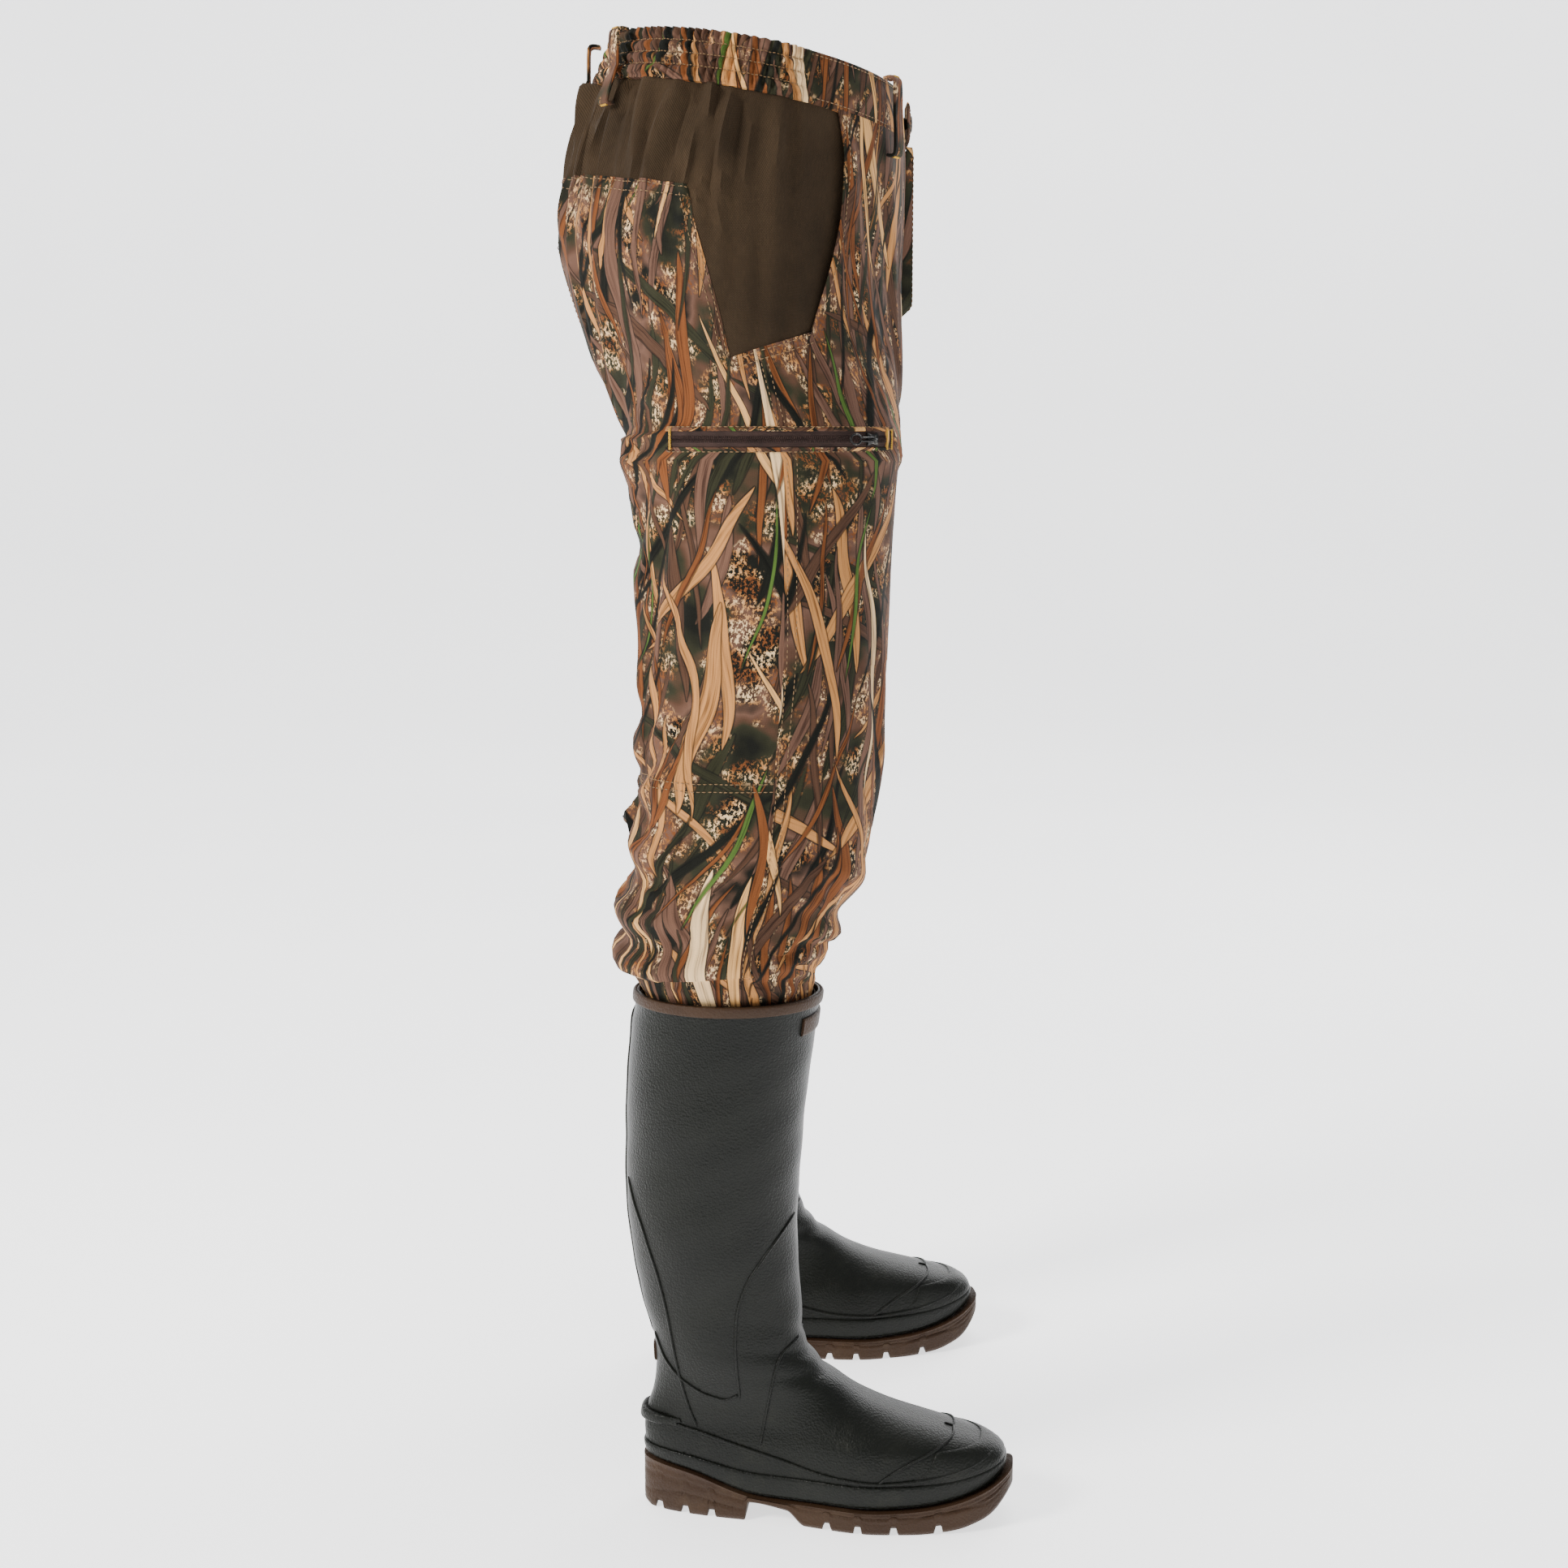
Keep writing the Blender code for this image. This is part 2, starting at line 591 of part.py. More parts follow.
def make_thigh(side, word):
    body = f"thigh_{word}"
    for half, edge in (("front", THIGH_TOP_FRONT), ("back", THIGH_TOP_BACK)):
        low = [(place, THIGH_BOTTOM) for place, _ in edge]
        trouser_patch(f"thigh_{half}_{word}", side, (low, edge), "camo_fabric", body, bands=5)
    bag = [[(place, level) for place in ZIP_POCKET_PLACES] for level in ZIP_POCKET_LEVELS]
    name = f"zip_pocket_bag_{word}"
    trouser_patch(name, side, bag, "lining", body, depths=ZIP_POCKET_DEPTHS)
    make_thigh_zip(side, word)


def arc_point(side, angle, radius, height):
    x = ZIP_CENTRE[0] + radius * math.cos(angle)
    y = ZIP_CENTRE[1] + radius * math.sin(angle)
    return (x, side * y, height)


def arc_sections(side, angles, outline):
    sections = []
    for angle in angles:
        sections.append([arc_point(side, angle, ZIP_RADIUS + off, ZIP_LEVEL + up) for off, up in outline])
    return sections


def both_edges(outline):
    """An outline and its mirror image in height, as one closed section."""
    return outline + tuple((off, -up) for off, up in reversed(outline))


def make_thigh_zip(side, word):
    """Tape with its row of teeth on one arc, a slider that runs along it and a puller on the slider."""
    tape = both_edges(((0.0, -0.008), (0.0010, -0.008), (0.0010, -0.002), (0.0020, -0.002)))
    angles = np.linspace(*ZIP_ARC, 19)
    sections = arc_sections(side, angles, tape)
    add_piece(f"zip_tape_{word}", *sweep(sections), "zip_tape", f"thigh_{word}")

    slider = both_edges(((0.0023, -0.0042), (0.0046, -0.0042), (0.0056, -0.0025)))
    half = ZIP_SLIDER_LENGTH / 2 / ZIP_RADIUS
    angles = np.linspace(ZIP_REST - half, ZIP_REST + half, 3)
    sections = arc_sections(side, angles, slider)
    add_piece(f"zip_slider_{word}", *sweep(sections), "zip_metal", f"zip_slider_{word}")

    hinge = puller_axis(side)
    along = np.array((-math.sin(ZIP_REST), side * math.cos(ZIP_REST), 0))
    out = np.array((math.cos(ZIP_REST), side * math.sin(ZIP_REST), 0))
    shank = ((0.0, -0.0020), (0.016, -0.0022))
    ring_end = ((0.020, -0.0040), (0.026, -0.0040), (0.030, -0.0018))
    outline = both_edges(shank + ring_end)
    sections = []
    for lift in (0.0, ZIP_PULLER_THICKNESS):
        sections.append([hinge + along * run + out * lift + (0, 0, up) for run, up in outline])
    add_piece(f"zip_puller_{word}", *sweep(sections), "zip_metal", f"zip_puller_{word}")


def puller_axis(side):
    """Where the puller hangs on the slider: just off its outer face, level with the zip."""
    x, y, _ = arc_point(side, ZIP_REST, ZIP_RADIUS + ZIP_PULLER_OFFSET, 0)
    return np.array((x, y, ZIP_LEVEL))


def trouser_ring(side, level, depth):
    """A closed ring round one leg, its corners spaced as those of the boot's rings."""
    ring = []
    for i in range(BOOT_SIDES):
        share = (i + 0.5) / BOOT_SIDES
        place = (share + 0.25) % 1.0
        point = offset_inwards(trouser_surface, place, level, depth)
        ring.append(point * (1, side, 1))
    return ring


def make_lower_leg(side, word):
    levels = np.linspace(KNEE_BOTTOM, THIGH_BOTTOM - SEAM, 6)
    layers = [[trouser_ring(side, level, depth) for level in levels] for depth in (0.0, CLOTH)]
    knee = grid_shell(*layers, wrap=True)
    add_piece(f"knee_section_{word}", *knee, "camo_fabric", f"thigh_{word}")

    layers = []
    for depth in (0.0, CUFF_THICKNESS):
        rings = [boot_ring(side, level, CUFF_DEPTH + depth) for level in CUFF_BOOT_LEVELS]
        rings.append(trouser_ring(side, CUFF_BLOUSE_LEVEL, depth))
        rings.append(trouser_ring(side, KNEE_BOTTOM - SEAM, depth))
        layers.append(rings)
    cuff = grid_shell(*layers, wrap=True)
    add_piece(f"leg_cuff_{word}", *cuff, "camo_fabric", f"shin_{word}")


def ring_shell(name, side, levels, depths, material, body):
    layers = [[boot_ring(side, level, depth) for level in levels] for depth in depths]
    return add_piece(name, *grid_shell(*layers, wrap=True), material, body)


def boot_patch(name, side, corners, levels, proud, material, body):
    """A plate on the boot from one corner of its rings to another; corner 0 is just left of the toe."""
    layers = []
    for depth in (-proud, -PLATE_GAP):
        rows = []
        for level in levels:
            angles = [ring_angle(i) for i in range(corners[0], corners[1] + 1)]
            points = [offset_inwards(boot_surface, angle, level, depth) for angle in angles]
            rows.append([point * (1, side, 1) for point in points])
        layers.append(rows)
    return add_piece(name, *grid_shell(*layers), material, body)


def make_boot(side, word):
    body = f"shin_{word}"
    levels = [section[0] for section in BOOT_SECTIONS[:-1]] + [BOOT_RIM]
    outer = [boot_ring(side, level, 0.0) for level in levels]
    inner = [boot_ring(side, level, BOOT_WALL) for level in [BOOT_FLOOR_LEVEL] + levels[1:]]
    add_piece(f"boot_upper_{word}", *cup(outer, inner), "rubber", body)

    shaft = [level for level in levels if level >= LINING_FOOT][:-1] + [BOOT_RIM - 0.001]
    ring_shell(f"boot_lining_{word}", side, shaft, LINING_DEPTHS, "lining", body)
    insole = [boot_ring(side, level, BOOT_WALL + 0.0030) for level in INSOLE_LEVELS]
    floor = sweep(insole)[1][:-2] + ladder(insole[0], 0) + ladder(insole[1], BOOT_SIDES)
    add_piece(f"insole_{word}", insole[0] + insole[1], floor, "insole_foam", body)

    for name, levels, proud, material in BOOT_RINGS:
        ring_shell(f"{name}_{word}", side, levels, (-proud, -PLATE_GAP), material, body)
    for name, corners, levels, proud, material in BOOT_PLATES:
        boot_patch(f"{name}_{word}", side, corners, levels, proud, material, body)
    make_outsole(side, word)


def sole_point(side, x, y, z):
    turned_x, turned_y = toe_out(x, y)
    return (turned_x, side * (BOOT_Y + turned_y), z)


def make_outsole(side, word):
    """A lofted slab with a toe spring, then the arch and the tread grooves cut out of its underside."""
    body = f"shin_{word}"
    half_width = boot_section(BOOT_BASE_LEVEL)[2] + SOLE_LIP
    first, last = SOLE_PROFILE[0][0], SOLE_PROFILE[-1][0]
    middle, reach = (first + last) / 2, (last - first) / 2
    inset, rise = SOLE_CHAMFER
    sections = []
    for step in range(1, SOLE_STEPS):
        angle = math.pi * (1 - step / SOLE_STEPS)
        x = middle + reach * math.cos(angle)
        half = half_width * math.sin(angle) ** FOOT_FULLNESS * foot_taper(x, BOOT_BASE_LEVEL)
        bottom, top = sole_profile(x)
        bottom = max(bottom, 0.0)
        outline = (
            (-half + inset, bottom), (half - inset, bottom), (half, bottom + rise),
            (half, top), (-half, top), (-half, bottom + rise),
        )
        sections.append([sole_point(side, x, y, z) for y, z in outline])
    outsole = add_piece(f"outsole_{word}", *sweep(sections), "brown_rubber", body)

    cuts = [ARCH]
    for x in HEEL_GROOVES + FOREFOOT_GROOVES:
        cuts.append((x - GROOVE_WIDTH / 2, x + GROOVE_WIDTH / 2, GROOVE_DEPTH))
    points, faces = [], []
    for low, high, depth in cuts:
        roof = depth + sole_profile((low + high) / 2)[0]
        block_points, block_faces = sweep(box_points((low, -0.09, -0.02), (high, 0.09, roof)))
        faces += [tuple(i + len(points) for i in face) for face in block_faces]
        points += [sole_point(side, *point) for point in block_points]
    cutter = add_piece(f"tread_cutter_{word}", points, faces, "rubber", body)
    cutter.hide_render = True
    cutter.display_type = "WIRE"
    cut = outsole.modifiers.new("tread", "BOOLEAN")
    cut.operation = "DIFFERENCE"
    cut.solver = "EXACT"
    cut.object = cutter


def make_bodies():
    pull_top = FLY_SLIDER_TOP - FLY_SLIDER_SIZE[2] - GAP
    places = {
        "trousers": (0, 0, 0),
        "waist_tab": (TAB_X, TAB_EDGES_Y[1], SNAP_Z),
        "fly_slider": (FLY_X, 0, FLY_SLIDER_TOP),
        "fly_puller": (FLY_X + 0.0020, 0, pull_top),
    }
    for side, word in ((1, "left"), (-1, "right")):
        places[f"thigh_{word}"] = HIP_AXIS
        places[f"shin_{word}"] = KNEE_AXIS
        places[f"zip_slider_{word}"] = (ZIP_CENTRE[0], side * ZIP_CENTRE[1], ZIP_LEVEL)
        places[f"zip_puller_{word}"] = tuple(puller_axis(side))
    return {name: make_body(f"body_{name}", place) for name, place in places.items()}


clear_scene()
SHADERS = {name: make_material(name) for name in MATERIALS}
BODIES = make_bodies()
make_waist()
make_front_closure()
for loop_name, loop_turn in LOOP_PLACES.items():
    make_belt_loop(f"belt_loop_{loop_name}", loop_turn)
for half_side, half_word in ((1, "left"), (-1, "right")):
    make_pelvis(half_side, half_word)
    make_thigh(half_side, half_word)
    make_lower_leg(half_side, half_word)
    make_boot(half_side, half_word)
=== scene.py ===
"""Finished looks of the trouser waders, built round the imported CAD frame.

Frame: metres, +Z up, +X towards the toes, +Y to the wearer's left. The trouser and boot
sections are the ones the CAD solids are lofted through, so the cloth and rubber lie on them.
"""

import math

import bmesh
import bpy
import numpy as np
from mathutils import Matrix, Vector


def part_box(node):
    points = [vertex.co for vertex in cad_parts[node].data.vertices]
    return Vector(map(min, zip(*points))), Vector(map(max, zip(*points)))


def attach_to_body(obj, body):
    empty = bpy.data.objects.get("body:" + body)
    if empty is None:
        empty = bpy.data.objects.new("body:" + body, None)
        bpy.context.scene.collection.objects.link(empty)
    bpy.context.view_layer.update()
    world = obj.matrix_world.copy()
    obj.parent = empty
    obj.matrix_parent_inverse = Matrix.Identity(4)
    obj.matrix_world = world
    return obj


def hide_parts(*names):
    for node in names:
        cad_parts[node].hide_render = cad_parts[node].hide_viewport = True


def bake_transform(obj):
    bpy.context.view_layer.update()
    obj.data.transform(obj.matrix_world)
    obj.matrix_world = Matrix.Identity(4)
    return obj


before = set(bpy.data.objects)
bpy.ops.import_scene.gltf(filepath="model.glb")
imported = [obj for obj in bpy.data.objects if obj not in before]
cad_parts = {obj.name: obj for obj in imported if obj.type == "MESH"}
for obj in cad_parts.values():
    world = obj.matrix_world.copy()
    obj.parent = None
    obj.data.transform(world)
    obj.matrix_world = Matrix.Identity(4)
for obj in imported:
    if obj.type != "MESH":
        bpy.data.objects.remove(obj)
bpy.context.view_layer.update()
chance = np.random.default_rng(11)
SIDES = ((1, "left"), (-1, "right"))

# Trouser sections: level, front x, back x, y of the centre, outer and inner half width.
TROUSER_SECTIONS = (
    (1.210, 0.100, -0.142, 0.000, 0.172, 0.172),
    (1.170, 0.103, -0.158, 0.000, 0.180, 0.180),
    (1.110, 0.103, -0.181, 0.000, 0.192, 0.192),
    (1.055, 0.101, -0.192, 0.002, 0.198, 0.195),
    (1.000, 0.099, -0.178, 0.012, 0.190, 0.180),
    (0.955, 0.098, -0.158, 0.035, 0.166, 0.142),
    (0.915, 0.097, -0.139, 0.068, 0.132, 0.114),
    (0.885, 0.096, -0.133, 0.092, 0.108, 0.092),
    (0.860, 0.094, -0.128, 0.099, 0.100, 0.092),
    (0.800, 0.090, -0.122, 0.107, 0.096, 0.090),
    (0.730, 0.087, -0.118, 0.116, 0.093, 0.088),
    (0.660, 0.082, -0.124, 0.127, 0.091, 0.086),
    (0.600, 0.075, -0.126, 0.136, 0.088, 0.084),
    (0.550, 0.066, -0.130, 0.143, 0.086, 0.082),
    (0.510, 0.046, -0.134, 0.149, 0.084, 0.080),
    (0.475, 0.033, -0.134, 0.154, 0.079, 0.077),
    (0.460, 0.027, -0.125, 0.157, 0.069, 0.068),
    (0.446, 0.0235, -0.1155, 0.1580, 0.0600, 0.0600),
    (0.410, 0.0170, -0.1175, 0.1590, 0.0570, 0.0570),
    (0.370, 0.0130, -0.1180, 0.1600, 0.0540, 0.0540),
)
CROTCH_LEVEL = 0.885
BAND_BOTTOM, BAND_TOP = 1.170, 1.2095
SIDE_SEAM = 0.475
TILT, TILT_PIVOT_X, TILT_FADES = -0.18, -0.02, (0.95, 1.17)

# Boot sections: level, front x, back x, half width, before the toe-out turn.
BOOT_SECTIONS = (
    (0.030, 0.185, -0.116, 0.0500),
    (0.045, 0.187, -0.118, 0.0515),
    (0.060, 0.181, -0.119, 0.0510),
    (0.070, 0.167, -0.119, 0.0495),
    (0.078, 0.140, -0.118, 0.0470),
    (0.088, 0.104, -0.116, 0.0450),
    (0.100, 0.074, -0.112, 0.0430),
    (0.118, 0.046, -0.109, 0.0425),
    (0.140, 0.024, -0.109, 0.0430),
    (0.182, 0.015, -0.118, 0.0450),
    (0.223, 0.012, -0.126, 0.0490),
    (0.265, 0.012, -0.130, 0.0535),
    (0.327, 0.016, -0.131, 0.0590),
    (0.388, 0.023, -0.128, 0.0635),
    (0.450, 0.031, -0.123, 0.0670),
)
SOLE_PROFILE = (
    (-0.1190, 0.004, 0.0450),
    (-0.1120, 0.000, 0.0440),
    (-0.0750, 0.000, 0.0380),
    (-0.0250, 0.000, 0.0230),
    (0.0400, 0.000, 0.0205),
    (0.0900, 0.000, 0.0205),
    (0.1300, 0.001, 0.0240),
    (0.1600, 0.006, 0.0310),
    (0.1800, 0.016, 0.0390),
    (0.1945, 0.033, 0.0480),
)
BOOT_FLAT_LEVEL, BOOT_BASE_LEVEL, BOOT_RIM = 0.075, 0.030, 0.449
BOOT_Y, SHAFT_TOP_Y, ANKLE_X, TOE_OUT = 0.168, 0.158, -0.050, math.radians(6)
FOOT_FULLNESS, FOOT_NARROWING = 0.72, 0.27
SOLE_LIP, SOLE_SEAT = 0.0035, 0.0016
ARCH = (-0.028, 0.016, 0.016)
HEEL_GROOVES = (-0.104, -0.081, -0.058)
FOREFOOT_GROOVES = (0.041, 0.067, 0.097, 0.134)

ZIP_CENTRE, ZIP_LEVEL, ZIP_RADIUS = (-0.0195, 0.0815), 0.901, 0.1195
ZIP_ARC = (math.radians(28), math.radians(127))
ZIP_REST = math.radians(43)
PANEL_SPLIT = 0.72
LEAF = 0.0012  # thickness of a cloth panel


def smooth_table(rows):
    """A cubic curve through the rows of a table against its first column, for arrays of keys."""
    table = np.array(sorted(rows), float)
    keys, values = table[:, 0], table[:, 1:]
    slopes = np.gradient(values, keys, axis=0)

    def at(key):
        key = np.clip(np.asarray(key, float), keys[0], keys[-1])
        i = np.clip(np.searchsorted(keys, key, side="right") - 1, 0, len(keys) - 2)
        step = (keys[i + 1] - keys[i])[..., None]
        t = (key - keys[i])[..., None] / step
        start = (2 * t**3 - 3 * t**2 + 1) * values[i] + (t**3 - 2 * t**2 + t) * step * slopes[i]
        end = (3 * t**2 - 2 * t**3) * values[i + 1] + (t**3 - t**2) * step * slopes[i + 1]
        return np.moveaxis(start + end, -1, 0)

    return at


trouser_section = smooth_table(TROUSER_SECTIONS)
boot_section = smooth_table(BOOT_SECTIONS)
sole_profile = smooth_table(SOLE_PROFILE)


def ease(value, low, high):
    t = np.clip((np.asarray(value, float) - low) / (high - low), 0.0, 1.0)
    return t * t * (3 - 2 * t)


def trouser_shape(place, level):
    """Left side. place runs 0..1 from the front seam by the outside to the back seam, or round a leg."""
    front, back, centre_y, outer, inner = trouser_section(level)
    ratio = np.where(np.asarray(level) > CROTCH_LEVEL, np.clip(centre_y / inner, -1, 1), 1.0)
    first = -np.arcsin(ratio)
    angle = first + place * (math.pi - 2 * first)
    width = np.where(np.sin(angle) > 0, outer, inner)
    x = (front + back) / 2 + (front - back) / 2 * np.cos(angle)
    y = centre_y + width * np.sin(angle)
    tilt = TILT * ease(level, *TILT_FADES)
    return np.stack([x, y, level + tilt * (x - TILT_PIVOT_X)], -1)


def unit(vectors):
    return vectors / np.maximum(np.linalg.norm(vectors, axis=-1, keepdims=True), 1e-12)


def normals_of(surface, u, v, du, dv):
    """Outward unit normals of surface(u, v), by differences."""
    along = surface(u + du, v) - surface(u - du, v)
    up = surface(u, v + dv) - surface(u, v - dv)
    return unit(np.cross(along, up))


# ---------------------------------------------------------------- folds and drape of the cloth

CLOTH_WIDTH = 0.56  # metres of cloth that place 0..1 stands for, on average

# Folds: (place, level) of both ends, height outwards and half width in metres.
FOLDS = (
    ((1.00, 0.893), (0.60, 0.914), -0.0090, 0.0085),
    ((1.00, 0.917), (0.62, 0.938), 0.0050, 0.0130),
    ((0.96, 0.862), (0.66, 0.880), 0.0045, 0.0090),
    ((0.90, 0.870), (0.62, 0.780), -0.0050, 0.0080),
    ((0.64, 0.870), (0.60, 0.700), 0.0046, 0.0085),
    ((0.70, 0.880), (0.69, 0.660), -0.0052, 0.0080),
    ((0.76, 0.850), (0.73, 0.640), 0.0054, 0.0095),
    ((0.82, 0.830), (0.80, 0.690), -0.0050, 0.0080),
    ((0.88, 0.800), (0.84, 0.640), 0.0050, 0.0090),
    ((0.56, 0.800), (0.62, 0.640), -0.0034, 0.0080),
    ((0.95, 0.760), (0.70, 0.660), -0.0050, 0.0075),
    ((0.98, 0.720), (0.78, 0.640), 0.0044, 0.0080),
    ((0.55, 0.690), (0.80, 0.600), -0.0056, 0.0075),
    ((0.52, 0.655), (0.84, 0.570), 0.0054, 0.0085),
    ((0.98, 0.640), (0.62, 0.585), -0.0072, 0.0080),
    ((0.96, 0.600), (0.56, 0.565), 0.0064, 0.0080),
    ((1.00, 0.570), (0.52, 0.540), -0.0068, 0.0070),
    ((0.98, 0.545), (0.50, 0.512), 0.0070, 0.0085),
    ((0.48, 0.600), (0.66, 0.530), -0.0046, 0.0070),
    ((0.96, 0.520), (0.50, 0.494), -0.0050, 0.0060),
    ((0.92, 0.497), (0.45, 0.478), 0.0060, 0.0075),
    ((0.46, 0.540), (0.20, 0.500), -0.0040, 0.0065),
    ((0.40, 0.556), (0.12, 0.526), 0.0042, 0.0080),
    ((0.40, 0.512), (0.05, 0.490), 0.0050, 0.0075),
    ((0.30, 0.600), (0.44, 0.700), -0.0026, 0.0090),
    ((0.16, 0.560), (0.30, 0.660), 0.0028, 0.0100),
    ((0.04, 0.900), (0.24, 0.965), -0.0042, 0.0085),
    ((0.02, 0.925), (0.28, 1.010), 0.0034, 0.0100),
    ((0.04, 0.872), (0.30, 0.905), 0.0030, 0.0090),
    ((0.10, 0.840), (0.20, 0.740), 0.0024, 0.0100),
    ((0.44, 0.880), (0.38, 0.760), 0.0022, 0.0090),
    ((0.30, 0.860), (0.30, 0.720), -0.0020, 0.0100),
    ((0.72, 0.985), (0.98, 0.960), 0.0036, 0.0110),
    ((0.66, 0.950), (0.90, 0.930), -0.0036, 0.0090),
)


def ridge(place, level, start, end, height, half_width, wave):
    """A fold of rounded section along a slightly wavy line, fading out towards both ends."""
    x, y = place * CLOTH_WIDTH, level
    ax, ay = start[0] * CLOTH_WIDTH, start[1]
    bx, by = end[0] * CLOTH_WIDTH, end[1]
    length = math.hypot(bx - ax, by - ay)
    ux, uy = (bx - ax) / length, (by - ay) / length
    t = ((x - ax) * ux + (y - ay) * uy) / length
    swing = wave[0] * np.sin(t * math.pi * wave[1] + wave[2])
    off = (x - ax) * -uy + (y - ay) * ux - swing
    fade = ease(t, -0.12, 0.25) * (1 - ease(t, 0.72, 1.12))
    return height * fade * np.exp(-0.5 * (off / half_width) ** 2)


def zip_places():
    """The cloth places where the zip's arc starts and ends."""
    places = np.linspace(0.05, 0.95, 300)
    across = trouser_shape(places, np.full(300, ZIP_LEVEL))[:, :2] - np.array(ZIP_CENTRE)
    return np.interp(ZIP_ARC, np.unwrap(np.arctan2(across[:, 1], across[:, 0])), places)


ZIP_PLACES = zip_places()


def beside_zip(place, past):
    """1 along the zip, falling to 0 this far past both of its ends."""
    first, last = ZIP_PLACES
    return ease(place, first - past, first) * (1 - ease(place, last, last + past))


def fold_waves():
    """How each fold wavers, drawn once for each side: its swing, its half waves and where they start."""
    return [
        [(chance.uniform(0.003, 0.010), chance.uniform(1.0, 3.2), chance.uniform(0, 6.3)) for _ in FOLDS]
        for _ in SIDES
    ]


FOLD_WAVES = fold_waves()
FOLD_GAIN = 1.3  # on the heights of the table above

# Gathers under the elastic: pitch in metres, share of the height, lean off upright.
GATHERS = ((0.021, 0.40, 0.10), (0.034, 0.75, -0.16), (0.055, 0.9, 0.22))
GATHER_HEIGHT, GATHER_WIDTH = 0.0064, 0.48


def fold_height(side, place, level):
    which = 0 if side == 1 else 1
    found = np.zeros(np.broadcast(place, level).shape)
    for (start, end, height, half_width), wave in zip(FOLDS, FOLD_WAVES[which]):
        found = found + FOLD_GAIN * ridge(place, level, start, end, height, half_width, wave)
    arc = place * GATHER_WIDTH
    gathers = np.zeros_like(found)
    for pitch, share, lean in GATHERS:
        phase = 2 * math.pi * (arc + lean * (BAND_BOTTOM - level)) / pitch + which * 1.7
        gathers = gathers + share * np.sin(phase + 1.2 * np.sin(phase * 0.23))
    near_band = ease(level, 1.045, 1.166) * ease(place, 0.34, 0.50)
    hang = 0.50 * ease(level, 0.99, 1.08) * ease(place, 0.36, 0.48)
    return found + GATHER_HEIGHT * gathers * (hang + 0.50 * near_band)


def rigid_share(place, level):
    """1 where the cloth is sewn to something that keeps its shape: the fly, the zip and the ends."""
    fly = (1 - ease(place, 0.05, 0.10)) * ease(level, 0.97, 1.02)
    zip_zone = np.exp(-(((level - ZIP_LEVEL) / 0.013) ** 4)) * beside_zip(place, 0.045)
    top = ease(level, 1.1655, 1.1695)
    foot = 1 - ease(level, 0.449, 0.458)
    return np.clip(np.maximum.reduce([fly, zip_zone, top, foot]), 0, 1)


def zip_seat(points, place, level):
    """Moves the cloth beside the thigh zip on to the arc that the zip follows."""
    near = np.exp(-(((level - ZIP_LEVEL) / 0.048) ** 2)) * beside_zip(place, 0.11)
    flat = points[..., :2] - np.array(ZIP_CENTRE)
    radius = np.linalg.norm(flat, axis=-1)
    target = ZIP_RADIUS - 0.0006
    shift = (target - radius) * near / np.maximum(radius, 1e-6)
    moved = points.copy()
    moved[..., :2] += flat * shift[..., None]
    return moved


def cut_shape(side, place, level):
    """The cloth's shape before it drapes, with its folds laid in, on the given side."""
    points = zip_seat(trouser_shape(place, level), place, level)
    out = normals_of(trouser_shape, place, level, 2e-3, 1e-3)
    height = fold_height(side, place, level) * (1 - rigid_share(place, level))
    points = points + out * height[..., None]
    points[..., 1] = np.maximum(points[..., 1], 0.0)
    return points * (1, side, 1)


DRAPE_ROWS, DRAPE_COLUMNS = 117, 84
DRAPE_LEVELS = np.unique(np.append(np.linspace(0.404, BAND_BOTTOM, DRAPE_ROWS - 1), CROTCH_LEVEL))
DRAPE_PLACES = np.linspace(0, 1, DRAPE_COLUMNS)


def drape_grid():
    """Vertex numbers of the whole garment on a grid (side, row, column), sewn along its seams."""
    rows, columns = len(DRAPE_LEVELS), DRAPE_COLUMNS
    index = np.arange(2 * rows * columns).reshape(2, rows, columns)
    for row, level in enumerate(DRAPE_LEVELS):
        if level > CROTCH_LEVEL:
            index[1, row, 0] = index[0, row, 0]
            index[1, row, -1] = index[0, row, -1]
        elif level == CROTCH_LEVEL:
            index[:, row, 0] = index[0, row, 0]
            index[:, row, -1] = index[0, row, 0]
        else:
            index[:, row, -1] = index[:, row, 0]
    used, compact = np.unique(index, return_inverse=True)
    return used, compact.reshape(index.shape)


def grid_faces(index, flip):
    a, b, c, d = index[:-1, :-1], index[:-1, 1:], index[1:, 1:], index[1:, :-1]
    quads = np.stack([a, b, c, d], -1).reshape(-1, 4)
    return quads[:, ::-1] if flip else quads


def plain_mesh(name, points, faces):
    mesh = bpy.data.meshes.new(name)
    faces = faces.tolist() if isinstance(faces, np.ndarray) else faces
    mesh.from_pydata(np.asarray(points, float).tolist(), [], faces)
    thing = bpy.data.objects.new(name, mesh)
    bpy.context.scene.collection.objects.link(thing)
    return thing


def running_mean(values, reach):
    """Mean over a square of grid cells round each one, taken twice, for values[side, row, column, axis]."""
    for axis in (1, 2, 1, 2):
        pad = [(0, 0)] * values.ndim
        pad[axis] = (reach + 1, reach)
        total = np.cumsum(np.pad(values, pad, mode="edge"), axis=axis)
        size = values.shape[axis]
        upper = np.take(total, np.arange(2 * reach + 1, 2 * reach + 1 + size), axis=axis)
        lower = np.take(total, np.arange(size), axis=axis)
        values = (upper - lower) / (2 * reach + 1)
    return values


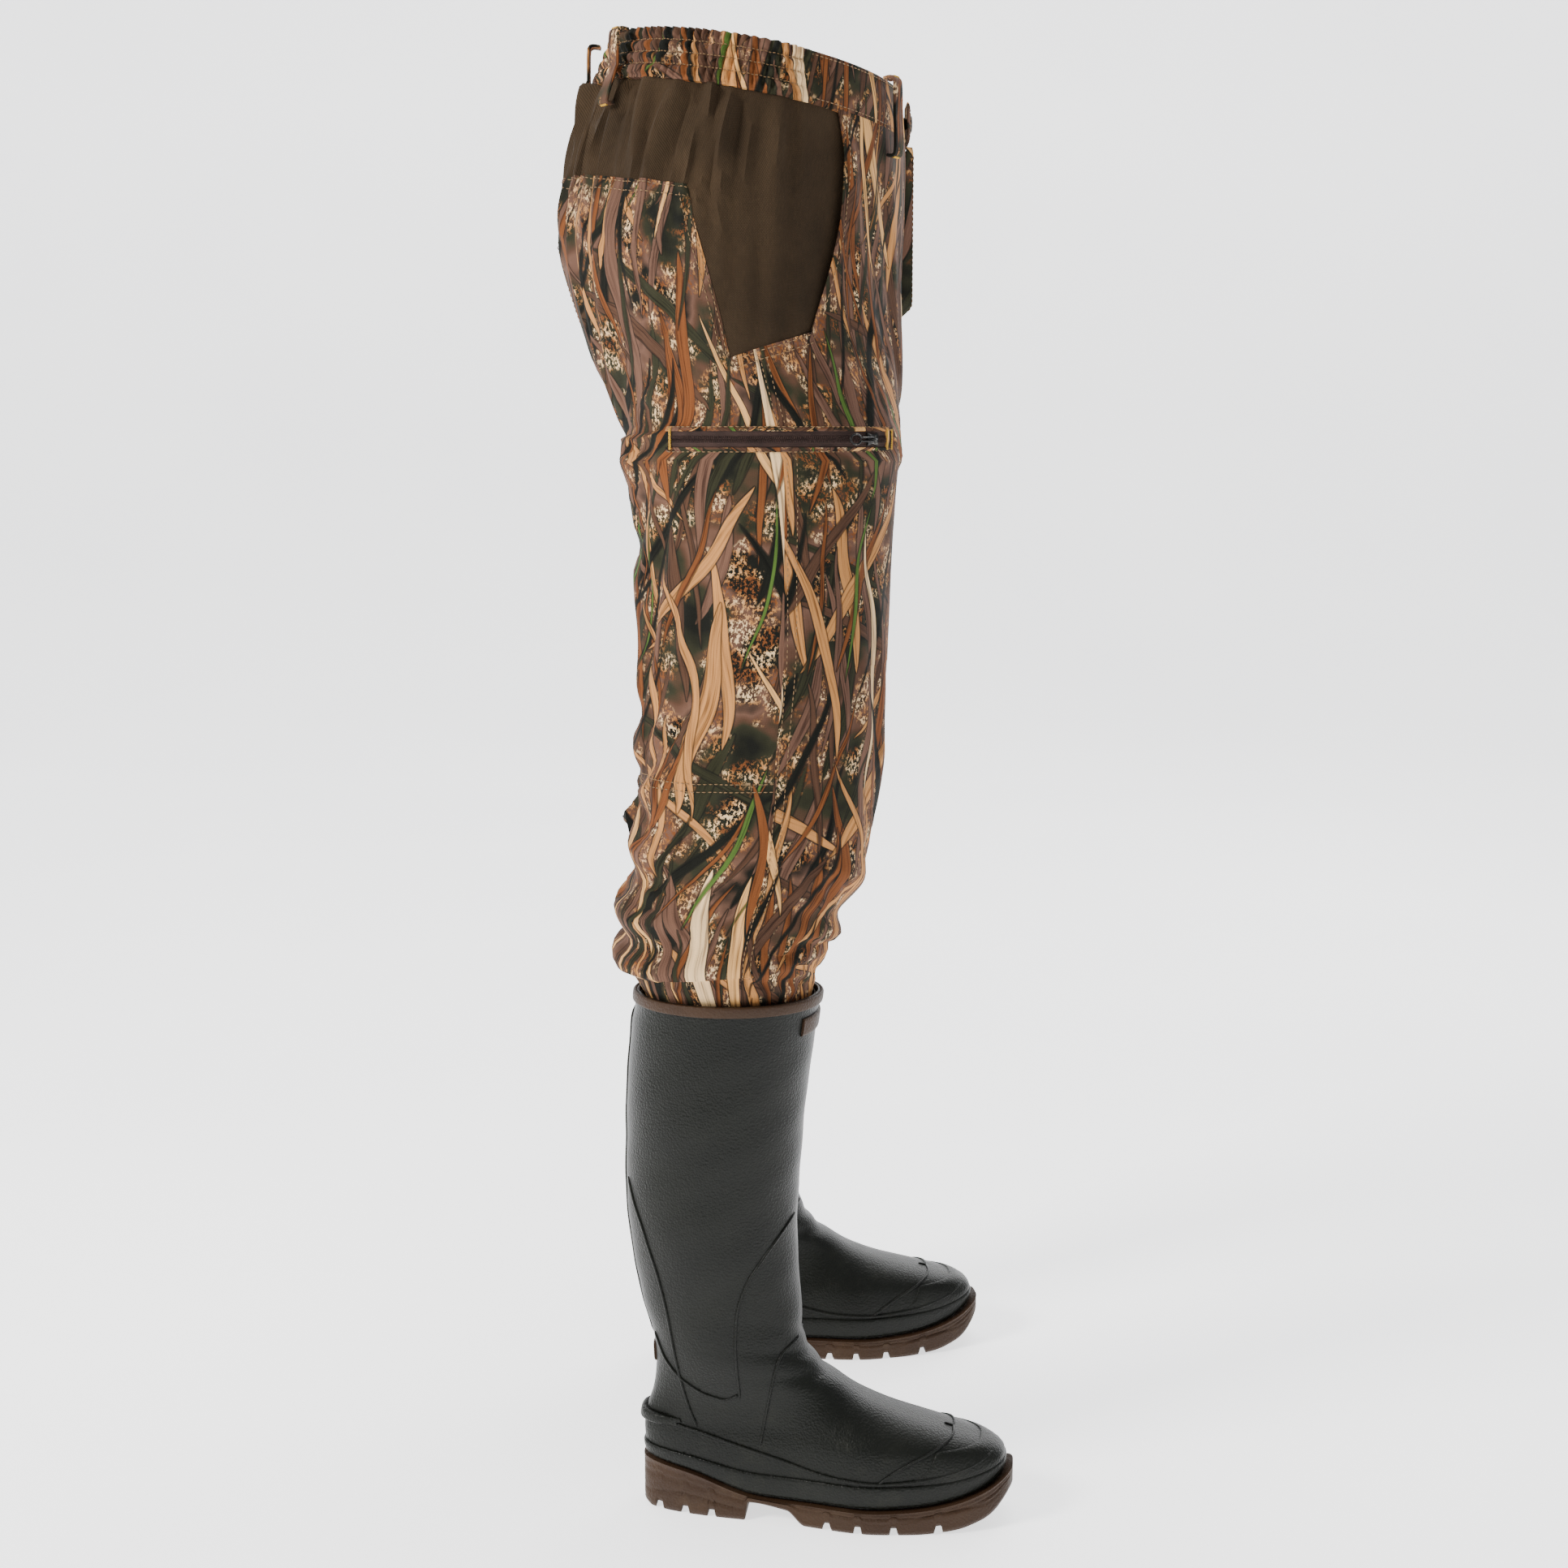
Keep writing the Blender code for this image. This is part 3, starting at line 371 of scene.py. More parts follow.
def cut_cloth(start, place, level):
    """The cloth as it is cut: where it is free, wider and longer than the body it hangs on."""
    back = ease(place, 0.46, 0.60)
    leg = 1 - ease(level, 0.80, 0.90)
    wide = 0.010 + 0.022 * back * leg + 0.018 * back * ease(level, 1.05, 1.16)
    long = 0.012 + 0.020 * (1 - ease(level, 0.56, 0.70)) + 0.014 * back * leg
    free = 1 - rigid_share(place, level)
    middle = start.mean(axis=2, keepdims=True)
    cut = start.copy()
    cut[..., :2] += (start - middle)[..., :2] * (wide * free)[..., None]
    step = np.diff(DRAPE_LEVELS, prepend=DRAPE_LEVELS[0])[:, None]
    cut[..., 2] += np.cumsum(step * long * free, axis=0)[None]
    return cut


def body_inside(place, level):
    """The body that the cloth lies on, a little way inside it."""
    inside = trouser_shape(place, level)
    depth = 0.0065 + 0.0035 * ease(place, 0.5, 0.65)
    inside = inside - normals_of(trouser_shape, place, level, 2e-3, 1e-3) * depth[..., None]
    inside[..., 1] = np.maximum(inside[..., 1], 0.0)
    return np.stack([inside * (1, side, 1) for side, _ in SIDES])


def pin_cloth(garment, weights):
    pins = garment.vertex_groups.new(name="held")
    for number, weight in enumerate(weights):
        if weight > 0.02:
            pins.add([number], float(weight), "REPLACE")


def hang_cloth(garment, rest):
    """Runs the cloth simulation and returns where its points come to rest."""
    cloth = garment.modifiers.new("drape", "CLOTH")
    settings = cloth.settings
    settings.quality = 6
    settings.mass = 0.25
    settings.tension_stiffness = settings.compression_stiffness = 18
    settings.shear_stiffness = 8
    settings.bending_stiffness = 0.35
    settings.tension_damping = settings.compression_damping = 8
    settings.vertex_group_mass = "held"
    settings.rest_shape_key = rest
    cloth.collision_settings.distance_min = 0.002
    cloth.collision_settings.use_self_collision = False
    cloth.point_cache.frame_end = DRAPE_FRAMES
    scene = bpy.context.scene
    for number in range(1, DRAPE_FRAMES + 1):
        scene.frame_set(number)
    shown = garment.evaluated_get(bpy.context.evaluated_depsgraph_get())
    moved = np.empty(len(garment.data.vertices) * 3, np.float32)
    shown.data.vertices.foreach_get("co", moved)
    scene.frame_set(1)
    return moved.reshape(-1, 3).astype(float)


DRAPE_FRAMES = 26
DRIFT_REACH, DRIFT_TAKEN, LONGEST_OFFSET = 7, 0.85, 0.022


def drape_offsets():
    """Lets the sewn garment hang and crumple, and returns how far each grid point moves."""
    place, level = np.meshgrid(DRAPE_PLACES, DRAPE_LEVELS)
    start = np.stack([cut_shape(side, place, level) for side, _ in SIDES])
    used, index = drape_grid()
    faces = np.concatenate([grid_faces(index[0], False), grid_faces(index[1], True)])
    garment = plain_mesh("drape_cloth", start.reshape(-1, 3)[used], faces)
    garment.shape_key_add(name="Basis")
    rest = garment.shape_key_add(name="cut")
    cut = cut_cloth(start, place, level).reshape(-1, 3)[used]
    rest.data.foreach_set("co", cut.astype(np.float32).ravel())
    rigid = rigid_share(place, level)
    held = np.zeros(len(used))
    held[index] = np.stack([rigid] * 2)
    pin_cloth(garment, held)

    form = plain_mesh("drape_form", body_inside(place, level).reshape(-1, 3)[used], faces)
    form.modifiers.new("form", "COLLISION")
    form.collision.thickness_outer = 0.002
    form.collision.cloth_friction = 12
    draped = hang_cloth(garment, rest)[index]
    for thing in (garment, form):
        bpy.data.objects.remove(thing)

    # The drape adds its folds. Most of its slow drift is taken out again, so the girth stays as read.
    offsets = np.nan_to_num(draped - start)
    loose = np.broadcast_to((1 - rigid)[None, ..., None], offsets.shape) + 1e-3
    drift = running_mean(offsets * loose, DRIFT_REACH) / running_mean(loose, DRIFT_REACH)
    offsets = offsets - DRIFT_TAKEN * drift
    far = np.linalg.norm(offsets, axis=-1, keepdims=True)
    offsets *= np.minimum(1.0, LONGEST_OFFSET / np.maximum(far, 1e-9))
    offsets *= (1 - ease(rigid, 0.6, 1.0))[None, ..., None]
    return offsets


DRAPE = drape_offsets()


def cubic_weights(t):
    return np.stack([
        -0.5 * t + t**2 - 0.5 * t**3, 1 - 2.5 * t**2 + 1.5 * t**3,
        0.5 * t + 2 * t**2 - 1.5 * t**3, -0.5 * t**2 + 0.5 * t**3,
    ])


def drape_at(side, place, level):
    """The drape's offset at any place and level, by cubic interpolation."""
    field = DRAPE[0 if side == 1 else 1]
    place, level = np.broadcast_arrays(np.asarray(place, float), np.asarray(level, float))
    u = np.clip(place, 0, 1) * (DRAPE_COLUMNS - 1)
    row_number = np.arange(len(DRAPE_LEVELS))
    v = np.interp(level, DRAPE_LEVELS, row_number)
    i, j = np.minimum(u.astype(int), DRAPE_COLUMNS - 2), np.minimum(v.astype(int), len(row_number) - 2)
    across, up = cubic_weights(u - i), cubic_weights(v - j)
    found = np.zeros(place.shape + (3,))
    for a in range(4):
        for b in range(4):
            column = np.clip(i + a - 1, 0, DRAPE_COLUMNS - 1)
            row = np.clip(j + b - 1, 0, len(row_number) - 1)
            found += (across[a] * up[b])[..., None] * field[row, column]
    return found


def cloth_surface(side):
    def at(place, level):
        place, level = np.broadcast_arrays(np.asarray(place, float), np.asarray(level, float))
        points = cut_shape(side, place, level) + drape_at(side, place, level)
        points[..., 1] = side * np.maximum(side * points[..., 1], 0.0)
        low = (level > 0.4525) & (level < 0.50)
        points[..., 2] = np.where(low, np.maximum(points[..., 2], 0.4528), points[..., 2])
        return points
    return at


CLOTH_OF = {side: cloth_surface(side) for side, _ in SIDES}


def on_cloth(side, place, level, height=0.0):
    """Points on the draped cloth, lifted off it by height, and the outward normals there."""
    place, level = np.broadcast_arrays(np.asarray(place, float), np.asarray(level, float))
    inner = np.clip(place, 0.004, 0.996)
    out = normals_of(CLOTH_OF[side], inner, np.clip(level, 0.41, 1.166), 0.003, 0.0018) * side
    points = CLOTH_OF[side](place, level)
    return points + out * np.asarray(height)[..., None], out


# ---------------------------------------------------------------- meshes

def make_piece(name, points, faces, material, coords=None):
    """A mesh object with its pattern coordinates stored on its points."""
    thing = plain_mesh(name, points, faces)
    mesh = thing.data
    if coords is not None:
        mesh.attributes.new("cloth", "FLOAT_VECTOR", "POINT")
        mesh.attributes["cloth"].data.foreach_set("vector", np.asarray(coords, np.float32).ravel())
    edit = bmesh.new()
    edit.from_mesh(mesh)
    bmesh.ops.recalc_face_normals(edit, faces=edit.faces)
    edit.to_mesh(mesh)
    edit.free()
    mesh.materials.append(material)
    mesh.shade_smooth()
    mesh.set_sharp_from_angle(angle=math.radians(50))
    return thing


def attach(piece, body, *nodes):
    """Lets the piece ride on its body, in place of the CAD nodes that it stands for."""
    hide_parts(*nodes)
    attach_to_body(piece, body)


def lengths_along(points):
    """Distance along a line from its first point to each of its points."""
    return np.concatenate([[0], np.cumsum(np.linalg.norm(np.diff(points, axis=0), axis=1))])


def sample(steps, keys, rows):
    """Linear interpolation of every column of rows against their keys."""
    return np.stack([np.interp(steps, keys, column) for column in rows.T], -1)


def spread(line, count):
    """Points between a line's corners, as many in each stretch."""
    corners = np.array(line, float)
    return sample(np.linspace(0, len(corners) - 1, count), np.arange(len(corners)), corners)


def softened(line, rounds):
    """The line with its inner corners eased. Its ends stay."""
    for _ in range(rounds):
        line[1:-1] = 0.25 * line[:-2] + 0.5 * line[1:-1] + 0.25 * line[2:]
    return line


def polyline(points, count):
    """The line through the points, at equal steps, its inner corners slightly eased."""
    points = np.array(points, float)
    along = lengths_along(points * (CLOTH_WIDTH, 1.0))
    return softened(sample(np.linspace(0, along[-1], count), along, points), 6)


def patch(bottom, top, rows):
    """A grid of (place, level) between two lines of as many points."""
    share = np.linspace(0, 1, rows)[:, None, None]
    return bottom[None] * (1 - share) + top[None] * share


def merge_patches(patches):
    """Unique (place, level) points of several grids, and the quads over them."""
    spots = np.concatenate([grid.reshape(-1, 2) for grid in patches])
    keys = np.round(spots * (CLOTH_WIDTH, 1.0) / 2e-5).astype(np.int64)
    _, first, index = np.unique(keys, axis=0, return_index=True, return_inverse=True)
    index = index.reshape(-1)
    faces, base = [], 0
    for grid in patches:
        rows, columns = grid.shape[:2]
        faces.append(grid_faces(index[base:base + rows * columns].reshape(rows, columns), False))
        base += rows * columns
    return spots[first], np.concatenate(faces)


def shell_faces(faces, far):
    """Both skins of a sheet and the walls along its open edges."""
    ends = np.stack([faces, np.roll(faces, -1, axis=1)], -1).reshape(-1, 2)
    order = np.sort(ends, axis=1)
    _, index, count = np.unique(order, axis=0, return_inverse=True, return_counts=True)
    edge = ends[count[index.reshape(-1)] == 1]
    walls = np.stack([edge[:, 1], edge[:, 0], edge[:, 0] + far, edge[:, 1] + far], -1)
    return np.concatenate([faces, faces[:, ::-1] + far, walls])


def swept_faces(rings, size):
    """Faces over rings of so many points each, closed round each ring and at both ends."""
    index = np.arange(rings * size).reshape(rings, size)
    faces = grid_faces(np.concatenate([index, index[:, :1]], axis=1), False).tolist()
    return faces + [index[0][::-1].tolist(), index[-1].tolist()]


def cloth_panel(name, side, patches, material, turn=0.0, shift=(0, 0), lift=None):
    """A sewn panel: its outer skin lies on the draped cloth and its inner skin a leaf below."""
    spots, faces = merge_patches(patches)
    place, level = spots[:, 0], spots[:, 1]
    height = np.zeros(len(spots)) if lift is None else lift(place, level)
    outer, out = on_cloth(side, place, level, height)
    inner = outer - out * LEAF
    u = place * CLOTH_WIDTH + shift[0]
    v = level + shift[1]
    cos, sin = math.cos(turn), math.sin(turn)
    coords = np.stack([side * (u * cos - v * sin), u * sin + v * cos, np.full(len(u), 1.0 * side)], -1)
    points, coords = np.concatenate([outer, inner]), np.concatenate([coords, coords])
    return make_piece(name, points, shell_faces(faces, len(spots)), material, coords)


def tube(points, radius, sides=6, taper=True):
    """Points and faces of a round bar along a line, its ends drawn in."""
    points = np.asarray(points, float)
    ahead = unit(np.gradient(points, axis=0))
    helper = np.array((0.0, 0.0, 1.0))
    if abs(ahead[:, 2]).mean() > 0.8:
        helper = np.array((1.0, 0.0, 0.0))
    across = unit(np.cross(ahead, helper))
    up = np.cross(across, ahead)
    turns = 2 * math.pi * np.arange(sides) / sides
    size = np.full(len(points), radius)
    if taper:
        size[0] = size[-1] = radius * 0.35
    ring = np.cos(turns)[None, :, None] * across[:, None] + np.sin(turns)[None, :, None] * up[:, None]
    body = points[:, None] + ring * size[:, None, None]
    return body.reshape(-1, 3), swept_faces(len(points), sides)


class Batch:
    """Gathers many small solids into one mesh."""

    def __init__(self):
        self.points, self.faces, self.count = [], [], 0

    def add(self, points, faces):
        self.points.append(np.asarray(points, float))
        self.faces += [[i + self.count for i in face] for face in faces]
        self.count += len(points)

    def build(self, name, material, body=None):
        """The mesh of all of them, riding on body where one is given."""
        points = np.concatenate(self.points)
        made = make_piece(name, points, self.faces, material, points)
        if body:
            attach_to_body(made, body)
        return made


STITCH_PITCH, STITCH_LENGTH, STITCH_RADIUS, STITCH_SIDES = 0.0046, 0.0031, 0.00042, 5
ROW_GAP = 0.0062  # between the rows of twin stitching


def stitch_row(batch, side, line, height=0.0002):
    """A row of raised stitches along a line of (place, level) on the cloth."""
    line = np.array(line, float)
    dense = sample(np.linspace(0, 1, 400), np.linspace(0, 1, len(line)), line)
    track, out = on_cloth(side, dense[:, 0], dense[:, 1], height)
    along = lengths_along(track)
    arch = np.array((-0.0002, 0.00022, 0.00022, -0.0002))[:, None]
    for number in range(int(along[-1] / STITCH_PITCH)):
        start = number * STITCH_PITCH + chance.uniform(-0.0002, 0.0002)
        steps = np.linspace(start, start + STITCH_LENGTH, 4)
        centre, lift = sample(steps, along, track), sample(steps, along, out)
        batch.add(*tube(centre + lift * arch, STITCH_RADIUS, STITCH_SIDES))


def rows_on_band(batch, track, pitch=STITCH_PITCH, length=STITCH_LENGTH):
    """A row of flat stitches along a track of points."""
    along = lengths_along(track)
    for number in range(int(along[-1] / pitch)):
        steps = np.linspace(number * pitch, number * pitch + length, 4)
        batch.add(*tube(sample(steps, along, track), STITCH_RADIUS, STITCH_SIDES))


def twin_rows(batch, side, line, first=0.0022, **options):
    """Two rows of stitches beside a seam, both on the side that first points to."""
    scaled = polyline(line, 60) * (CLOTH_WIDTH, 1.0)
    ahead = unit(np.gradient(scaled, axis=0))
    beside = np.stack([-ahead[:, 1], ahead[:, 0]], -1)
    for off in (first, first + math.copysign(ROW_GAP, first)):
        moved = scaled + beside * off
        stitch_row(batch, side, moved / (CLOTH_WIDTH, 1.0), **options)


def bar_tack(batch, centre, along, out, length, width, threads):
    """A short block of satin stitches."""
    along, out = unit(np.array(along, float)), unit(np.array(out, float))
    across = np.cross(out, along)
    for number in range(threads):
        base = centre + along * ((number + 0.5) / threads - 0.5) * length
        lean = along * chance.uniform(-0.0002, 0.0002)
        ends = [base - across * width / 2 - lean - out * 0.0002, base + out * 0.0004,
                base + across * width / 2 + lean - out * 0.0002]
        batch.add(*tube(ends, 0.00045, STITCH_SIDES))


# ---------------------------------------------------------------- materials

class Shade:
    """A short way to write node graphs: sockets in, sockets out."""

    def __init__(self, name):
        self.material = bpy.data.materials.new(name)
        self.material.use_nodes = True
        self.tree = self.material.node_tree
        self.shader = self.tree.nodes["Principled BSDF"]

    def put(self, socket, value):
        if isinstance(value, bpy.types.NodeSocket):
            self.tree.links.new(value, socket)
        elif value is not None:
            socket.default_value = value

    def node(self, kind, inputs=(), **settings):
        made = self.tree.nodes.new(kind)
        for key, value in settings.items():
            setattr(made, key, value)
        for key, value in dict(inputs).items():
            self.put(made.inputs[key], value)
        return made

    def math(self, operation, a, b=None, c=None):
        made = self.node("ShaderNodeMath", operation=operation)
        for socket, value in zip(made.inputs, (a, b, c)):
            self.put(socket, value)
        return made.outputs[0]

    def dot(self, vector, axis):
        made = self.node("ShaderNodeVectorMath", operation="DOT_PRODUCT")
        self.put(made.inputs[0], vector)
        made.inputs[1].default_value = axis
        return made.outputs["Value"]

    def scaled(self, vector, factors):
        made = self.node("ShaderNodeVectorMath", operation="MULTIPLY")
        self.put(made.inputs[0], vector)
        made.inputs[1].default_value = factors
        return made.outputs[0]

    def combine(self, x, y, z=0.0):
        return self.node("ShaderNodeCombineXYZ", {0: x, 1: y, 2: z}).outputs[0]

    def parts(self, vector):
        return self.node("ShaderNodeSeparateXYZ", {0: vector}).outputs

    def noise(self, vector, scale, detail=2.0, rough=0.5, colour=False):
        inputs = {"Vector": vector, "Scale": scale, "Detail": detail, "Roughness": rough}
        made = self.node("ShaderNodeTexNoise", inputs)
        return made.outputs["Color" if colour else "Fac"]

    def white(self, vector):
        return self.node("ShaderNodeTexWhiteNoise", {"Vector": vector}, noise_dimensions="3D").outputs

    def smooth(self, value, low, high):
        made = self.node("ShaderNodeMapRange", interpolation_type="SMOOTHSTEP", clamp=True)
        for key, given in (("Value", value), ("From Min", low), ("From Max", high)):
            self.put(made.inputs[key], given)
        return made.outputs[0]

    def mix(self, share, a, b, blend="MIX"):
        made = self.node("ShaderNodeMix", data_type="RGBA", blend_type=blend)
        self.put(made.inputs[0], share)
        self.put(made.inputs[6], a if isinstance(a, bpy.types.NodeSocket) else (*a, 1.0))
        self.put(made.inputs[7], b if isinstance(b, bpy.types.NodeSocket) else (*b, 1.0))
        return made.outputs[2]

    def ramp(self, value, stops, constant=False):
        made = self.node("ShaderNodeValToRGB", {0: value})
        band = made.color_ramp
        band.interpolation = "CONSTANT" if constant else "LINEAR"
        while len(band.elements) > 1:
            band.elements.remove(band.elements[-1])
        band.elements[0].position = stops[0][0]
        band.elements[0].color = (*stops[0][1], 1.0)
        for place, colour in stops[1:]:
            band.elements.new(place).color = (*colour, 1.0)
        return made.outputs[0]

    def bump(self, height, strength, distance, under=None):
        inputs = {"Height": height, "Strength": strength, "Distance": distance, "Normal": under}
        return self.node("ShaderNodeBump", inputs).outputs[0]

    def finish(self, **values):
        for key, value in values.items():
            if isinstance(value, tuple):
                value = (*value, 1.0)
            self.put(self.shader.inputs[key.replace("_", " ")], value)
        return self.material

    def cloth(self):
        return self.node("ShaderNodeAttribute", attribute_name="cloth").outputs["Vector"]

    def local(self):
        return self.node("ShaderNodeTexCoord").outputs["Object"]


def tone(red, green, blue):
    """A screen colour in 0..255 as linear light."""
    found = []
    for value in (red, green, blue):
        value /= 255
        found.append(value / 12.92 if value <= 0.04045 else ((value + 0.055) / 1.055) ** 2.4)
    return tuple(found)


TAN, BEIGE, CREAM = tone(176, 123, 72), tone(206, 157, 99), tone(222, 188, 142)
MAUVE, BROWN, RUST = tone(98, 71, 58), tone(76, 53, 40), tone(110, 64, 34)
GREEN, OLIVE, DARK = tone(72, 98, 42), tone(42, 42, 28), tone(18, 19, 14)

# Layers of reeds: lean from upright in degrees, column width, length, half width, share of the
# cells that hold one, colours.
REEDS = (
    (14, 0.017, 0.11, 0.0040, 0.60, (BROWN, OLIVE, MAUVE, DARK)),
    (-62, 0.040, 0.16, 0.0045, 0.30, (MAUVE, BROWN, TAN, OLIVE)),
    (-9, 0.016, 0.15, 0.0038, 0.55, (MAUVE, BROWN, RUST, TAN)),
    (36, 0.040, 0.18, 0.0050, 0.34, (BROWN, DARK, MAUVE, TAN)),
    (4, 0.021, 0.17, 0.0046, 0.48, (TAN, MAUVE, RUST, BROWN)),
    (-27, 0.036, 0.20, 0.0048, 0.36, (BEIGE, MAUVE, BROWN, DARK)),
    (20, 0.030, 0.14, 0.0022, 0.50, (DARK, OLIVE, RUST, DARK)),
    (-4, 0.030, 0.22, 0.0056, 0.36, (BEIGE, TAN, CREAM, MAUVE)),
    (8, 0.034, 0.14, 0.0018, 0.50, (GREEN, OLIVE, GREEN, RUST)),
    (-15, 0.044, 0.20, 0.0030, 0.36, (RUST, BEIGE, DARK, TAN)),
)
STREAKS = ((0.34, (0.30, 0.27, 0.25)), (0.47, (0.86, 0.85, 0.84)), (0.62, (1.12, 1.10, 1.06)))


def weave(shade, at, pitch, depth, lean=0.0):
    """A plain or twill weave as a height: threads across and along, shifted by lean."""
    across = shade.dot(at, (1.0 / pitch, lean / pitch, 0.0))
    along = shade.dot(at, (0.0, 1.0 / pitch, 0.0))
    wave_a = shade.math("SINE", shade.math("MULTIPLY", across, 2 * math.pi))
    wave_b = shade.math("SINE", shade.math("MULTIPLY", along, 2 * math.pi))
    return shade.math("MULTIPLY", shade.math("ADD", wave_a, wave_b), depth)


def camo_material():
    shade = Shade("camo_fabric_look")
    at = shade.cloth()
    drift = shade.noise(at, 7.0, 1.0, colour=True)
    moved = shade.node("ShaderNodeVectorMath", operation="MULTIPLY_ADD")
    shade.put(moved.inputs[0], drift)
    moved.inputs[1].default_value = (0.050, 0.030, 0.0)
    shade.put(moved.inputs[2], at)
    warped = moved.outputs[0]

    patches = shade.noise(at, 16.0, 3.0)
    ground = shade.ramp(patches, ((0.34, DARK), (0.44, OLIVE), (0.50, BROWN), (0.56, MAUVE), (0.64, DARK)))
    specks = shade.noise(shade.scaled(at, (420.0, 260.0, 9.0)), 1.0, 3.0, 0.7)
    where = shade.smooth(shade.noise(shade.scaled(at, (1.0, 1.0, 3.0)), 24.0, 3.0), 0.46, 0.54)
    grain_tone = shade.ramp(shade.noise(at, 60.0, 1.0), ((0.40, RUST), (0.50, TAN), (0.62, CREAM)))
    speckle = shade.math("MULTIPLY", shade.smooth(specks, 0.50, 0.55), where)
    colour = shade.mix(speckle, ground, grain_tone)

    for number, (lean, width, length, half, share, colours) in enumerate(REEDS):
        angle = math.radians(lean)
        cos, sin = math.cos(angle), math.sin(angle)
        across = shade.math("ADD", shade.dot(warped, (cos / width, -sin / width, 0.0)), 3.7 * number + 0.31)
        along = shade.dot(warped, (sin / length, cos / length, 0.0))
        column = shade.math("FLOOR", across)
        first = shade.parts(shade.white(shade.combine(column, 17.3 * number, 1.0))["Color"])
        run = shade.math("ADD", along, shade.math("MULTIPLY", first[0], 5.3))
        row = shade.math("FLOOR", run)
        chosen = shade.white(shade.combine(column, row, 2.0 + number))
        picks = shade.parts(chosen["Color"])
        t = shade.math("FRACT", run)
        s = shade.math("SUBTRACT", shade.math("FRACT", across), 0.5)
        bow = shade.math("MULTIPLY", t, shade.math("SUBTRACT", 1.0, t))
        swing = shade.math("MULTIPLY", shade.math("SUBTRACT", picks[0], 0.5), 2.4)
        s = shade.math("ADD", s, shade.math("MULTIPLY", shade.math("SUBTRACT", bow, 0.12), swing))
        taper = shade.math("POWER", shade.math("MULTIPLY", bow, 4.0), 0.7)
        size = shade.math("MULTIPLY", shade.math("MULTIPLY_ADD", picks[2], 1.1, 0.45), half / width)
        edge = shade.math("MULTIPLY", taper, size)
        off = shade.math("ABSOLUTE", s)
        there = shade.math("LESS_THAN", chosen["Value"], share)
        rim = shade.math("SUBTRACT", edge, off)
        body = shade.math("MULTIPLY", shade.smooth(rim, 0.0, 0.0007 / width), there)
        outline = shade.smooth(rim, -0.0011 / width, -0.0002 / width)
        outline = shade.math("MULTIPLY", shade.math("MULTIPLY", outline, there), 0.75)
        bands = [(0.25 * k, tint) for k, tint in enumerate(colours)]
        tint = shade.ramp(picks[1], bands, constant=True)
        fibres = shade.noise(shade.combine(
            shade.math("MULTIPLY", across, width * 520.0), shade.math("MULTIPLY", run, length * 16.0),
            shade.math("MULTIPLY", picks[1], 40.0)), 1.0, 2.0, 0.65)
        streak = shade.ramp(fibres, STREAKS)
        tint = shade.mix(0.9, tint, streak, "MULTIPLY")
        colour = shade.mix(outline, colour, DARK)
        colour = shade.mix(body, colour, tint)

    fade = shade.noise(at, 5.0, 3.0)
    faded = shade.ramp(fade, ((0.3, (0.84, 0.84, 0.85)), (0.7, (1.04, 1.03, 1.0))))
    colour = shade.mix(1.0, colour, faded, "MULTIPLY")
    threads = weave(shade, at, 0.0011, 0.5)
    fuzz = shade.noise(at, 900.0, 2.0)
    height = shade.math("ADD", shade.math("MULTIPLY", threads, 0.5), fuzz)
    crumple = shade.noise(shade.scaled(at, (1.0, 0.55, 1.0)), 62.0, 3.0, 0.55)
    normal = shade.bump(crumple, 0.55, 0.0022)
    normal = shade.bump(height, 0.35, 0.0003, normal)
    rough = shade.math("MULTIPLY_ADD", fade, 0.14, 0.72)
    return shade.finish(Base_Color=colour, Roughness=rough, Normal=normal, Specular_IOR_Level=0.12)


def twill_material():
    shade = Shade("brown_twill_look")
    at = shade.cloth()
    ribs = shade.math("SINE", shade.math("MULTIPLY", shade.dot(at, (1.0, 0.72, 0.0)), 2 * math.pi / 0.0016))
    fine = shade.math("SINE", shade.math("MULTIPLY", shade.dot(at, (1.0, -1.4, 0.0)), 2 * math.pi / 0.0009))
    threads = shade.math("ADD", ribs, shade.math("MULTIPLY", fine, 0.4))
    cloudy = shade.noise(at, 14.0, 4.0)
    slub = shade.noise(shade.scaled(at, (900.0, 120.0, 1.0)), 1.0, 3.0)
    base = shade.ramp(cloudy, ((0.3, tone(42, 32, 21)), (0.7, tone(58, 45, 31))))
    # Painted shade and highlight of the weave: the colour is darker in the grooves between the twill's threads
    # and lighter on their raised crests.
    raised = shade.smooth(threads, -1.2, 1.4)
    light = shade.ramp(raised, ((0.0, (0.74, 0.74, 0.74)), (1.0, (1.22, 1.21, 1.18))))
    colour = shade.mix(1.0, base, light, "MULTIPLY")
    uneven = shade.ramp(slub, ((0.35, (0.8, 0.8, 0.8)), (0.7, (1.25, 1.24, 1.2))))
    colour = shade.mix(0.5, colour, uneven, "MULTIPLY")
    creases = shade.noise(shade.scaled(at, (1.0, 0.4, 1.0)), 48.0, 3.0)
    normal = shade.bump(creases, 0.5, 0.002)
    normal = shade.bump(threads, 0.45, 0.0003, normal)
    return shade.finish(Base_Color=colour, Roughness=0.86, Normal=normal, Specular_IOR_Level=0.12)


